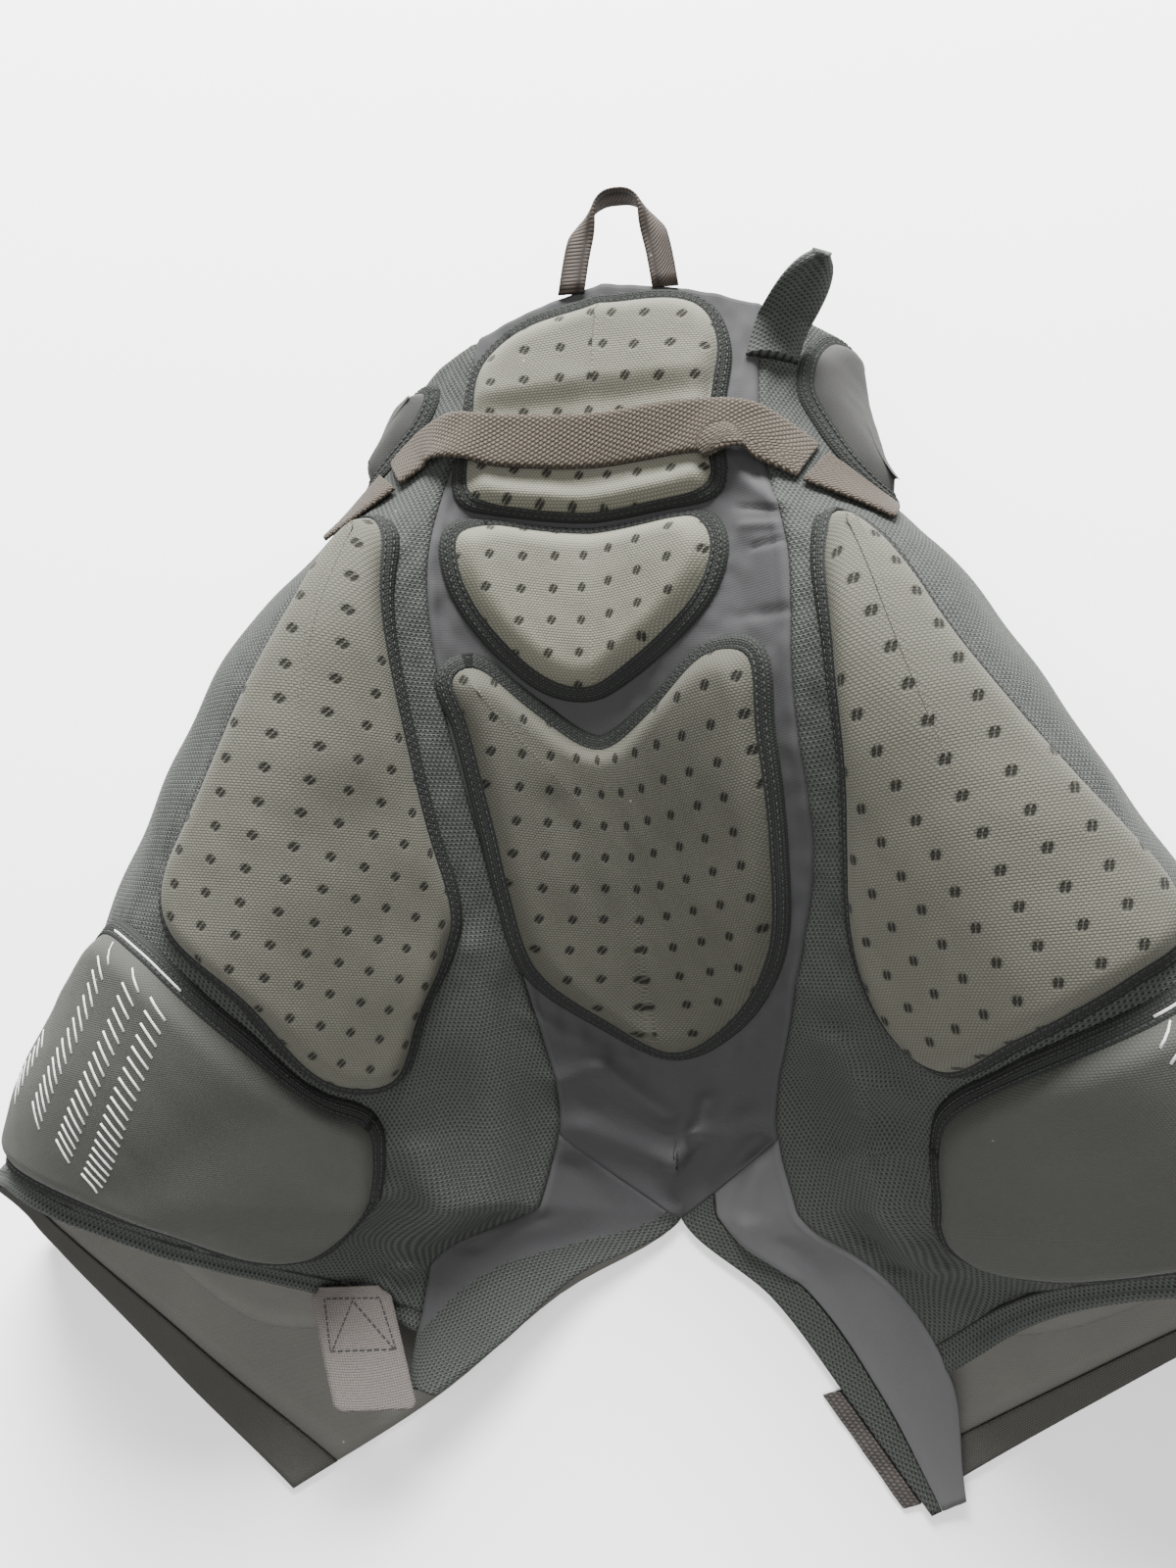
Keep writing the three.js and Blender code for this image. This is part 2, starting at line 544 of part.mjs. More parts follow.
// A pad: its flange, its bevel and its crown, laid over the garment. inside puts it under the cloth.
function pad(name, finish, { count, thickness, steps, inside = false, dent = null }) {
  const curve = new THREE.CatmullRomCurve3(
    padOutlines[name].map(([s, v]) => new THREE.Vector3(s, v, 0)), true, 'centripetal');
  let foot = curve.getSpacedPoints(count).slice(0, count).map((p) => [p.x, p.y]);
  if (signedArea(foot) > 0) foot = foot.reverse();
  const middle = foot.reduce(([a, b], [s, v]) => [a + s / count, b + v / count], [0, 0]);
  const edge = inset(foot, foot.map((place) => -flangeRoom(name, place)));
  const inner = inset(foot, foot.map(() => bevelWidth));
  const toMiddle = (ring, share) => ring.map(([s, v]) => [
    s + (middle[0] - s) * share, v + (middle[1] - v) * share]);
  const shoulder = flangeThickness + (thickness - flangeThickness) * padSection.shoulderHeight;
  const rings = [
    { places: edge, height: flangeThickness },
    { places: foot, height: flangeThickness },
    { places: inset(foot, foot.map(() => bevelWidth * padSection.shoulderInset)), height: shoulder },
    { places: inner, height: thickness },
  ];
  for (let k = 1; k < steps; k += 1) {
    const share = k / steps;
    rings.push({ places: toMiddle(inner, share), height: thickness * (1 + padSection.crown * share) });
  }
  const base = inside ? -(clothThickness + seatGap) : (padLifts[name] ?? padGap);
  const turn = inside ? -1 : 1;
  const pressed = (v) => {
    if (!dent) return 1;
    const off = (Math.abs(v - dent.row) - dent.halfWidth) / dent.fade;
    const fade = Math.min(Math.max(off, 0), 1);
    return 1 - dent.depth * (1 - fade * fade * (3 - 2 * fade));
  };
  const points = [];
  const addRing = (places, height, pressable) => {
    places.forEach(([s, v]) => {
      points.push(lifted(s, v, base + turn * height * (pressable ? pressed(v) : 1)));
    });
  };
  rings.forEach((ring, k) => addRing(ring.places, ring.height, k > 1));
  points.push(lifted(...middle, base + turn * thickness * (1 + padSection.crown) * pressed(middle[1])));
  const topMiddle = points.length - 1;
  const firstUnder = points.length;
  const underRings = [edge];
  for (let k = 1; k < steps; k += 1) underRings.push(toMiddle(edge, k / steps));
  underRings.forEach((places) => addRing(places, 0, false));
  points.push(lifted(...middle, base));
  const underMiddle = points.length - 1;
  const faces = [];
  const strip = (a, b, flip) => {
    for (let i = 0; i < count; i += 1) {
      const j = (i + 1) % count;
      const quad = [[a + i, a + j, b + j], [a + i, b + j, b + i]];
      quad.forEach(([x, y, z]) => faces.push(flip ? [x, z, y] : [x, y, z]));
    }
  };
  const fan = (a, centre, flip) => {
    for (let i = 0; i < count; i += 1) {
      const j = (i + 1) % count;
      faces.push(flip ? [a + i, centre, a + j] : [a + i, a + j, centre]);
    }
  };
  for (let k = 0; k + 1 < rings.length; k += 1) strip(k * count, (k + 1) * count, false);
  fan((rings.length - 1) * count, topMiddle, false);
  for (let k = 0; k + 1 < underRings.length; k += 1) {
    strip(firstUnder + k * count, firstUnder + (k + 1) * count, true);
  }
  fan(firstUnder + (underRings.length - 1) * count, underMiddle, true);
  strip(0, firstUnder, true);
  return closedMesh(name, finish, points, faces);
}

// A flat strip along a route: at(t) gives its middle point, its width direction and its width
function ribbon(name, finish, steps, columns, thickness, at) {
  return sheet(name, finish, steps, columns, (t, q) => {
    const here = at(t);
    const along = at(Math.min(t + 0.01, 1)).middle.clone().sub(at(Math.max(t - 0.01, 0)).middle).normalize();
    const face = new THREE.Vector3().crossVectors(here.across, along).normalize();
    const edge = here.middle.clone().addScaledVector(here.across, (q - 0.5) * here.width);
    return [edge.clone().addScaledVector(face, thickness), edge];
  });
}

// Webbing laid over the garment by a route table, with its width square to its run
function webbing(name, route, steps) {
  const read = (column, t) => through(route.map((row) => row[column]), t * (route.length - 1));
  const onRoute = (t) => frameAt(read('s', t), read('v', t));
  return sheet(name, finishes.webbing, steps, 2, (t, q) => {
    const here = onRoute(t);
    const along = onRoute(Math.min(t + 0.01, 1)).point.sub(onRoute(Math.max(t - 0.01, 0)).point);
    const square = here.normal.clone().cross(along).normalize();
    const downward = Math.sign(square.dot(here.downTangent));
    const sideways = square.multiplyScalar((q - 0.5) * webbingWidth * downward);
    const [s, v] = movedBy(read('s', t), read('v', t), sideways);
    const { point, normal } = frameAt(s, Math.max(v, 0));
    const under = point.addScaledVector(normal, padGap + read('lift', t) * tailPadThickness);
    return [under.clone().addScaledVector(normal, webbingThickness), under];
  });
}

// The hanging loop: its ends lie flat at the waist, and at the top the webbing stands on edge
function hangLoop() {
  const start = lifted(0, 0, 0);
  const middleX = start.x + loopOffset;
  return ribbon('hang_loop', finishes.webbing, 18, 1, loopThickness, (t) => {
    const turn = Math.PI * t;
    const rise = Math.sin(turn) ** loopForm.sideFullness;
    const spread = Math.sign(Math.cos(turn)) * Math.abs(Math.cos(turn)) ** loopForm.topFullness;
    const narrowing = 1 - loopForm.narrowing * rise;
    const stand = THREE.MathUtils.smoothstep(rise, loopForm.standFrom, 1) * Math.PI * loopForm.standTurn;
    const outward = t <= 0.5 ? 1 : -1;
    return {
      middle: new THREE.Vector3(
        middleX - spread * (loopSpread / 2) * narrowing,
        start.y - loopFoot + rise * loopReach,
        start.z + padGap + loopRise * rise,
      ),
      across: new THREE.Vector3(Math.cos(stand) * outward, 0, Math.sin(stand)),
      width: loopWidth,
    };
  });
}

// The hook-and-loop tab lies on the back hem of the left leg and hangs over its opening
function hookTab() {
  const top = lifted(tabPlace.s, tabPlace.v, tabFootLift);
  const down = lifted(tabPlace.downS, tabPlace.downV, tabHangLift).sub(top).normalize();
  const outer = lifted(tabPlace.outS, tabPlace.outV, padGap);
  const across = outer.sub(lifted(tabPlace.inS, tabPlace.inV, padGap)).normalize();
  return ribbon('hook_tab_left', finishes.hook, 4, 2, tabThickness, (t) => ({
    middle: top.clone().addScaledVector(down, t * tabLength),
    across,
    width: tabWidth,
  }));
}

// The folded mesh ear: its foot lies on the cloth above the right side pad, its tip stands up
function sideFlap() {
  const lean = new THREE.Vector3(0.48, 0.5, 0.72).normalize();
  const { footShare } = flapPlace;
  return sheet('side_flap_right', finishes.mesh, 8, 4, (t, q) => {
    const low = Math.min(t / footShare, 1);
    const beyond = Math.max(t - footShare, 0) / (1 - footShare);
    const narrow = Math.sqrt(Math.max(1 - beyond ** 3, flapPlace.tipNarrow));
    const s = flapPlace.s + flapPlace.wander * low;
    const v = flapPlace.v - flapPlace.rise * low;
    const sideways = ((q - 0.5) * flapWidth * narrow) / frameAt(s, v).acrossTangent.length();
    const { point, normal, acrossTangent } = frameAt(s + sideways, v);
    const tipFace = acrossTangent.clone().cross(lean).normalize();
    const face = normal.clone().lerp(tipFace, beyond).normalize();
    const under = point.addScaledVector(normal, padGap + flapThickness * low * low);
    under.addScaledVector(lean, beyond * flapLength * (1 - footShare));
    return [under.clone().addScaledVector(face, flapThickness), under];
  });
}

// The zip tape along the inner edge of the right leg
function legZip() {
  return ribbon('leg_zip_right', finishes.hook, 8, 1, zipThickness, (t) => {
    const edge = skin(1, 0, zipStart + t);
    const wave = zipWave * Math.sin(3 * Math.PI * t) ** 2;
    return {
      middle: new THREE.Vector3(edge.x - zipWidth / 2 - seamGap, edge.y - zipThickness, wave),
      across: new THREE.Vector3(-0.95, -0.3, 0).normalize(),
      width: zipWidth,
    };
  });
}

const girdle = new THREE.Group();
girdle.add(backCentrePanel());
for (const side of [-1, 1]) {
  girdle.add(sidePanel(side), backHem(side), gusset(side), frontPanel(side), frontHem(side));
}
girdle.add(inseamBand());
const perforated = finishes.perforated;
const tail = { thickness: tailPadThickness };
girdle.add(pad('tail_pad_upper', perforated, { ...tail, count: 28, steps: 4, dent: beltDent }));
girdle.add(pad('tail_pad_middle', perforated, { ...tail, count: 24, steps: 3 }));
girdle.add(pad('tail_pad_lower', perforated, { ...tail, count: 34, steps: 4 }));
const hip = { thickness: hipPadThickness, count: 30, steps: 5 };
const thigh = { thickness: thighPadThickness, count: 26, steps: 5 };
const sideKidney = { thickness: sidePadThickness, count: 18, steps: 4 };
const frontThigh = { thickness: frontPadThickness, count: 18, steps: 3, inside: true };
for (const side of ['left', 'right']) {
  girdle.add(pad(`hip_pad_${side}`, perforated, hip));
  girdle.add(pad(`thigh_pad_${side}`, finishes.smoothPad, thigh));
  girdle.add(pad(`side_pad_${side}`, finishes.smoothPad, sideKidney));
  girdle.add(pad(`front_thigh_pad_${side}`, finishes.lining, frontThigh));
  girdle.add(webbing(`belt_side_${side}`, sideBelts[side], 8));
}
girdle.add(webbing('belt_back', beltRoute, 26));
girdle.add(hangLoop(), hookTab(), sideFlap(), legZip());

// Stand the girdle on the floor with the origin under the middle of its box
const box = new THREE.Box3().setFromObject(girdle);
const middle = box.getCenter(new THREE.Vector3());
girdle.position.set(-middle.x, -middle.y, -box.min.z);

export default girdle;
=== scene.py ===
# A padded hip girdle lying on its front with the back side up: its looks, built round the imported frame.
# Lengths are metres. +Z is up, +Y is towards the waist and +X towards the wearer's right leg.
import math

import bpy
import numpy as np
from mathutils import Matrix, Vector
from mathutils.bvhtree import BVHTree


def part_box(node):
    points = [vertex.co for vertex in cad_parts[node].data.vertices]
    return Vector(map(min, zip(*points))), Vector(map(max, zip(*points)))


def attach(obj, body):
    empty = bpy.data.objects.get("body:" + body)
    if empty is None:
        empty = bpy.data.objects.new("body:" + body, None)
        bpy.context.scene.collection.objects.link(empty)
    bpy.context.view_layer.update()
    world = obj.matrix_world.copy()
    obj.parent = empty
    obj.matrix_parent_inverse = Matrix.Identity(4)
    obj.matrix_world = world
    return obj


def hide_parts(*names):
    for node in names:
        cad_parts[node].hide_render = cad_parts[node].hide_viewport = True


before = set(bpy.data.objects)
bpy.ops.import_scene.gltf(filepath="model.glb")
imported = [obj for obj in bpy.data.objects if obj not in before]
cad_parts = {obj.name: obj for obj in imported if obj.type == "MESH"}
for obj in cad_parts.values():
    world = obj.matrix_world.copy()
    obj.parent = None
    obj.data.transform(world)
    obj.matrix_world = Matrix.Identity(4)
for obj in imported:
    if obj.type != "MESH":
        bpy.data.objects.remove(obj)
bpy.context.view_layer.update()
print("frame loaded")

# The camera and the light

cameraSetup = {
    "place": (0.0498, -0.0536, 0.590),
    "turnLeft": 8.0,  # degrees that the view leans to the left of straight down
    "turnUp": 10.0,  # and towards the waist
    "focalShare": 1155 / 1600,  # focal length as a share of the picture's height
    "sensor": 36.0,
}
areaLights = {  # place, size in metres and power
    "windowLight": [(0.1, 3.0, 1.55), (2.4, 1.5), 910.0],
    "fillLight": [(-0.2, -0.8, 2.4), (2.2, 2.2), 74.0],
}
studioSetup = {"aim": (0, 0, 0.05), "sky": 0.42, "floorShade": 0.96, "floorSize": 14.0, "floorDrop": 0.0004}


def addObject(name, data):
    made = bpy.data.objects.new(name, data)
    bpy.context.scene.collection.objects.link(made)
    return made


def makeCamera(setup):
    data = bpy.data.cameras.new("photoCamera")
    camera = addObject("photoCamera", data)
    left = math.radians(setup["turnLeft"])
    up = math.radians(setup["turnUp"])
    forward = Vector((-math.sin(left), math.cos(left) * math.sin(up), -math.cos(left) * math.cos(up)))
    right = forward.cross(Vector((0, 1, 0))).normalized()
    top = right.cross(forward)
    turned = Matrix((right, top, -forward)).transposed().to_4x4()
    camera.matrix_world = Matrix.Translation(setup["place"]) @ turned
    data.sensor_width = setup["sensor"]
    data.lens = setup["focalShare"] * setup["sensor"]
    data.clip_start = 0.02
    bpy.context.scene.camera = camera


def areaLight(name, place, size, power):
    data = bpy.data.lights.new(name, "AREA")
    data.shape = "RECTANGLE"
    data.size, data.size_y = size
    data.energy = power
    light = addObject(name, data)
    light.location = place
    light.rotation_mode = "QUATERNION"
    light.rotation_quaternion = (Vector(place) - Vector(studioSetup["aim"])).to_track_quat("Z", "Y")


def makeStudio(setup):
    for name, row in areaLights.items():
        areaLight(name, *row)
    world = bpy.data.worlds.new("softSky")
    world.use_nodes = True
    sky = world.node_tree.nodes["Background"].inputs
    sky["Color"].default_value = (1, 1, 1, 1)
    sky["Strength"].default_value = setup["sky"]
    bpy.context.scene.world = world
    half = setup["floorSize"] / 2
    mesh = bpy.data.meshes.new("floor")
    corners = [(-half, -half, 0), (half, -half, 0), (half, half, 0), (-half, half, 0)]
    mesh.from_pydata(corners, [], [(0, 1, 2, 3)])
    floor = addObject("floor", mesh)
    floor.location.z = -setup["floorDrop"]
    material = bpy.data.materials.new("paleFloor")
    material.use_nodes = True
    shader = material.node_tree.nodes["Principled BSDF"].inputs
    shader["Base Color"].default_value = (*[setup["floorShade"]] * 3, 1)
    shader["Roughness"].default_value = 0.9
    mesh.materials.append(material)


makeCamera(cameraSetup)
makeStudio(studioSetup)
print("camera and studio made")

# The garment's surface: two half tubes, with a signed place across s (left is negative) and a place
# down v. Shares follow the body's length above the crotch, the leg's below it, its width and height.

garment = {
    "bodyLength": 0.429,
    "legLength": 0.127,
    "hipHalfWidth": 0.290,
    "hipHeight": 0.164,
    "clothThickness": 0.0016,
    "hemThickness": 0.0026,
    "seamGap": 0.0006,
    "padGap": 0.0012,
    "sideDrop": 0.42,
    "wanderFade": 0.6,
    "crotchRow": 8,
    "crotchSeamRise": 0.8,
    "lastRow": 11,
    "floorLine": 6,
    "sideSeam": 4.4,
    "hemWidthShare": 0.3,
}
acrossLines = np.array([0, 0.3, 0.6, 0.86, 1, 0.97, 0.86, 0.45, 0])
stationColumns = ["inX", "inY", "inZ", "z1", "z2", "z3", "outX", "outY", "outZ", "frontX", "frontY"]
rightRows = [
    [0, 1.0, 0.75, 0.76, 0.71, 0.59, 0.41, 0.95, 0.43, 0, 0.96],
    [0, 0.87, 0.72, 0.75, 0.75, 0.65, 0.41, 0.86, 0.46, 0, 0.85],
    [0, 0.755, 0.7, 0.76, 0.83, 0.73, 0.45, 0.765, 0.49, 0, 0.75],
    [0, 0.655, 0.67, 0.78, 0.93, 0.82, 0.56, 0.675, 0.5, 0, 0.64],
    [0, 0.53, 0.6, 0.78, 0.99, 0.87, 0.66, 0.56, 0.5, 0, 0.52],
    [0, 0.385, 0.44, 0.68, 0.96, 0.87, 0.78, 0.41, 0.49, 0, 0.385],
    [0, 0.235, 0.24, 0.52, 0.88, 0.83, 0.9, 0.26, 0.46, 0, 0.235],
    [0, 0.11, 0.08, 0.35, 0.76, 0.76, 0.99, 0.16, 0.43, 0, 0.11],
    [0, 0, 0, 0.26, 0.63, 0.68, 1.06, 0.09, 0.39, 0, 0],
    [0.15, -0.28, 0, 0.23, 0.56, 0.63, 1.1, 0.04, 0.37, 0.15, -0.28],
    [0.27, -0.63, 0, 0.22, 0.51, 0.59, 1.13, 0, 0.34, 0.28, -0.59],
    [0.39, -1.0, 0, 0.2, 0.45, 0.54, 1.16, -0.12, 0.32, 0.41, -0.91],
]
leftRows = [
    [0, 1.0, 0.75, 0.76, 0.71, 0.58, 0.39, 0.91, 0.4, 0, 0.96],
    [0, 0.87, 0.72, 0.74, 0.74, 0.65, 0.4, 0.84, 0.45, 0, 0.85],
    [0, 0.755, 0.7, 0.75, 0.82, 0.72, 0.46, 0.765, 0.49, 0, 0.75],
    [0, 0.655, 0.67, 0.76, 0.9, 0.79, 0.58, 0.675, 0.5, 0, 0.64],
    [0, 0.53, 0.6, 0.73, 0.92, 0.81, 0.7, 0.56, 0.5, 0, 0.52],
    [0, 0.385, 0.44, 0.61, 0.86, 0.77, 0.82, 0.41, 0.49, 0, 0.385],
    [0, 0.235, 0.24, 0.45, 0.76, 0.71, 0.92, 0.26, 0.46, 0, 0.235],
    [0, 0.11, 0.08, 0.3, 0.64, 0.65, 1.01, 0.16, 0.43, 0, 0.11],
    [0, 0, 0, 0.22, 0.54, 0.58, 1.06, 0.09, 0.39, 0, 0],
    [0.17, -0.2, 0.06, 0.2, 0.48, 0.54, 1.12, 0.04, 0.37, 0.21, -0.3],
    [0.29, -0.43, 0.11, 0.19, 0.43, 0.5, 1.17, 0, 0.34, 0.42, -0.69],
    [0.4, -0.62, 0.15, 0.17, 0.38, 0.45, 1.22, -0.12, 0.32, 0.67, -1.05],
]
middleLine = np.array([-0.02, -0.035, -0.04, -0.04, -0.035, 0.005, 0.03, 0.055, 0.06, 0.06, 0.06, 0.06])
seamLines = {  # where the stretch cloth meets the mesh, in places across, at each row
    -1: np.array([1.8, 1.76, 1.68, 1.42, 1.1, 0.88, 0.68, 0.6, 0.7, 0.76, 0.52, 0.2]),
    1: np.array([2.0, 1.98, 1.9, 1.66, 1.4, 1.17, 0.82, 0.58, 0.62, 0.7, 0.62, 0.24]),
}
hemLines = {  # where the leg openings end, from the inner seam round to the outer side
    ("back", -1): np.array([10.2, 9.7, 9.1, 8.7, 9.2]),
    ("back", 1): np.array([9.9, 9.2, 9.1, 9.1, 9.5]),
    ("front", -1): np.array([9.2, 10, 10.6, 10.9, 11]),
    ("front", 1): np.array([9.7, 10.2, 10.5, 10.8, 11]),
}
foldColumns = ["s0", "v0", "s1", "v1", "height", "width"]
broadFolds = [  # the folds that the pads lie over too: height in metres, width in places
    [0.98, 6.3, 1.06, 7.3, 0.0049, 0.1],
    [0.76, 6.6, 0.84, 8.7, -0.0042, 0.1],
    [1.0, 7.4, 1.02, 8.7, 0.0056, 0.1],
    [-0.95, 5.6, -0.9, 8.0, 0.0049, 0.13],
    [-1.25, 7.4, -0.85, 9.2, 0.0063, 0.14],
    [-0.75, 8.2, -1.05, 9.6, -0.0035, 0.12],
    [0.05, 7.35, 0.42, 7.0, 0.0049, 0.14],
    [-0.05, 7.35, -0.45, 7.1, 0.0049, 0.14],
    [1.5, 1.7, 1.8, 2.4, 0.0028, 0.1],
]
layerStack = 2 * garment["clothThickness"] + garment["seamGap"]


def shares(rows, columns):  # shares down and across a grid, from 0 to 1
    return np.meshgrid(np.linspace(0, 1, rows), np.linspace(0, 1, columns), indexing="ij")


def smoothStep(low, high, x):
    t = np.clip((x - low) / (high - low), 0, 1)
    return t * t * (3 - 2 * t)


def bend(a, b, c, d, t):
    straight = 2 * b + (c - a) * t
    curve = (2 * a - 5 * b + 4 * c - d) * t * t + (3 * b - a - 3 * c + d) * t ** 3
    return 0.5 * (straight + curve)


def through(values, t):  # a smooth curve through evenly spaced values, read at the places t
    t = np.asarray(t, float)
    last = len(values) - 1
    i = np.clip(np.floor(t).astype(int), 0, last - 1)
    before = 2 * values[0] - values[1]
    after = 2 * values[last] - values[last - 1]
    line = np.concatenate([[before], values, [after]])
    return bend(line[i], line[i + 1], line[i + 2], line[i + 3], t - i)


def throughAcross(values, u, mirror):  # the same with one row of values for each place
    u = np.asarray(u, float)
    last = values.shape[-1] - 1
    i = np.clip(np.floor(u).astype(int), 0, last - 1)
    ends = mirror * values[..., [1]], mirror * values[..., [last - 1]]
    line = np.broadcast_to(np.concatenate([ends[0], values, ends[1]], -1), (*u.shape, last + 3))
    at = [np.take_along_axis(line, (i + k)[..., None], -1)[..., 0] for k in range(4)]
    return bend(*at, u - i)


def heightAlong(share):
    return np.where(share > 0, share * garment["bodyLength"], share * garment["legLength"])


def stationTable(rows):
    columns = dict(zip(stationColumns, np.array(rows, float).T))
    for name in ["inX", "outX", "frontX"]:
        columns[name] = columns[name] * garment["hipHalfWidth"]
    for name in ["inY", "outY", "frontY"]:
        columns[name] = heightAlong(columns[name])
    return columns


stations = {1: stationTable(rightRows), -1: stationTable(leftRows)}


def foldLift(folds, s, v):
    lift = np.zeros(np.shape(s))
    for row in folds:
        fold = dict(zip(foldColumns, row))
        ds, dv = fold["s1"] - fold["s0"], fold["v1"] - fold["v0"]
        along = np.clip(((s - fold["s0"]) * ds + (v - fold["v0"]) * dv) / (ds * ds + dv * dv), 0, 1)
        off = np.hypot(s - fold["s0"] - along * ds, v - fold["v0"] - along * dv) / fold["width"]
        lift = lift + fold["height"] * np.exp(-off * off)
    return lift


def halfSkin(side, u, v):
    at = {name: through(values, v) for name, values in stations[side].items()}
    tall = garment["hipHeight"]
    inner = layerStack + np.maximum(at["inZ"], 0) * (tall - layerStack)
    outer = at["outZ"] * tall
    flat = np.zeros(np.shape(v))
    heights = [inner, at["z1"] * tall, at["z2"] * tall, at["z3"] * tall, outer, outer * garment["sideDrop"]]
    heights = np.stack(heights + [flat, flat, flat], -1)
    across = throughAcross(np.broadcast_to(acrossLines, heights.shape), u, -1)
    back = u <= 4
    startX = np.where(back, np.maximum(at["inX"], 0), np.maximum(at["frontX"], 0))
    startY = np.where(back, at["inY"], at["frontY"])
    ownFolds = [row for row in broadFolds if row[0] * side > 0]
    z = throughAcross(heights, u, 1) + np.where(back, foldLift(ownFolds, side * u, v), 0)
    middle = through(middleLine, v) * garment["hipHalfWidth"]
    x = side * (startX + (at["outX"] - startX) * across) + middle * (1 - garment["wanderFade"] * across)
    return np.stack([x, startY + (at["outY"] - startY) * across, np.maximum(z, 0)], -1)


def skin(s, v):
    s, v = np.broadcast_arrays(np.asarray(s, float), np.asarray(v, float))
    right = halfSkin(1, np.abs(s), v)
    left = halfSkin(-1, np.abs(s), v)
    return np.where((s < 0)[..., None], left, right)


shift = np.zeros(3)  # the garment's own frame starts at the crotch; findShift moves it into the part's


def unit(a):
    return a / np.maximum(np.linalg.norm(a, axis=-1, keepdims=True), 1e-12)


def frameAt(s, v):  # point, outward normal and the two tangents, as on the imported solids
    s, v = np.broadcast_arrays(np.asarray(s, float), np.asarray(v, float))
    side = np.where(s < 0, -1.0, 1.0)
    u = np.abs(s)
    step = 0.02
    low, high = np.maximum(u - step, 0), np.minimum(u + step, 8)
    across = (skin(side * np.maximum(high, 1e-6), v) - skin(side * np.maximum(low, 1e-6), v))
    across = across * (side / (high - low))[..., None]
    top = np.maximum(v - step, 0)
    down = (skin(s, v + step) - skin(s, top)) / (v + step - top)[..., None]
    normal = unit(np.cross(down, across))
    return skin(s, v) + shift, normal, across, down


def lifted(s, v, lift):
    point, normal, _, _ = frameAt(s, v)
    return point + normal * np.asarray(lift)[..., None]


def movedAcross(side, u, v, distance):
    return u + distance / np.linalg.norm(frameAt(side * u, v)[2], axis=-1)


def movedBy(s, v, vector):  # the place reached by a vector in metres along the surface
    _, _, across, down = frameAt(s, v)
    aa, bb, ab = [(x * y).sum(-1) for x, y in ((across, across), (down, down), (across, down))]
    a = (across * vector).sum(-1)
    b = (down * vector).sum(-1)
    size = aa * bb - ab * ab
    return s + (a * bb - b * ab) / size, v + (b * aa - a * ab) / size


def movedDown(side, u, v, distance):
    return v + distance / np.linalg.norm(frameAt(side * np.maximum(u, 0.01), v)[3], axis=-1)


# Where the panels lie: each gives a signed place across and a place down, for p down and q across

sideNames = {1: "right", -1: "left"}
bodyRows = 18
legRows = 5
tipRows = 3
gussetRow = garment["crotchRow"] - garment["crotchSeamRise"]
gap = garment["seamGap"] / 4  # the cut edges of sewn cloth meet
nearMiddle = 1e-4
hemShare = garment["hemWidthShare"]


def hemAt(layer, side, q):
    line = hemLines[layer, side]
    return through(line, q * (len(line) - 1))


def fromSeam(side, v, distance):  # a place across, beside the seam between the stretch cloth and the mesh
    return movedAcross(side, through(seamLines[side], v), v, distance)


def besideCentre(side, v, q):  # from that seam round to the side seam
    inner = fromSeam(side, v, gap / 2)
    outer = movedAcross(side, garment["sideSeam"], v, -gap / 2)
    return side * (inner + (outer - inner) * q), v


def rowPlace(k, start, hem):
    onLeg = start + (hem - start) * (k - bodyRows) / legRows
    onTip = hem + (garment["lastRow"] - hem) * (k - bodyRows - legRows) / tipRows
    return np.where(k <= bodyRows, start * k / bodyRows, np.where(k <= bodyRows + legRows, onLeg, onTip))


def centrePlace(p, q):
    side = np.where(q < 0.5, -1, 1)
    out = np.maximum(np.abs(2 * q - 1), nearMiddle)
    end = garment["crotchRow"] - garment["crotchSeamRise"] * out
    v = p * movedDown(side, 0.3 + 0 * p, end, -gap / 2)
    seam = np.where(side > 0, through(seamLines[1], v), through(seamLines[-1], v))
    return side * out * movedAcross(side, seam, v, -gap / 2), v


def sidePlace(side):
    def placeAt(p, q):
        v = rowPlace(p * (bodyRows + legRows), gussetRow, hemAt("back", side, q) - hemShare)
        return besideCentre(side, v, q)
    return placeAt


def backHemPlace(side):
    def placeAt(p, q):
        end = hemAt("back", side, q)
        start = movedDown(side, 2 + 0 * p, end - hemShare, 2 * gap)
        return besideCentre(side, start + (end - start) * p, q)
    return placeAt


def gussetPlace(side, low, high):
    def placeAt(p, q):
        across = low + (high - low) * q
        start = garment["crotchRow"] - garment["crotchSeamRise"] * across
        row = rowPlace(bodyRows + p * (legRows + tipRows), start, hemAt("back", side, 0) - hemShare)
        v = row + (movedDown(side, 0.3 + 0 * p, start, gap) - start) * (1 - p)
        return side * across * fromSeam(side, v, -gap / 2), v
    return placeAt


def frontPlace(side, hem):
    def placeAt(p, q):
        end = hemAt("front", side, q)
        hemGap = gap / (garment["legLength"] / (garment["lastRow"] - garment["crotchRow"]))
        start = end - hemShare + hemGap if hem else 0 * end
        finish = end if hem else end - hemShare
        v = start + (finish - start) * p
        outer = movedAcross(side, garment["sideSeam"], v, gap)
        inner = movedAcross(side, 8 + 0 * v, v, -gap / 2)
        middle = garment["floorLine"]
        u = np.where(q < 0.5, outer + (middle - outer) * 2 * q, middle + (inner - middle) * (2 * q - 1))
        return side * u, v
    return placeAt


def findShift():
    edge = skin(*frontPlace(-1, False)(*shares(200, 61)))[..., 0].min()
    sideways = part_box("front_panel_left")[0].x - edge
    return sideways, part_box("back_centre_panel")[1].y - garment["bodyLength"], 0.0


shift[:] = findShift()


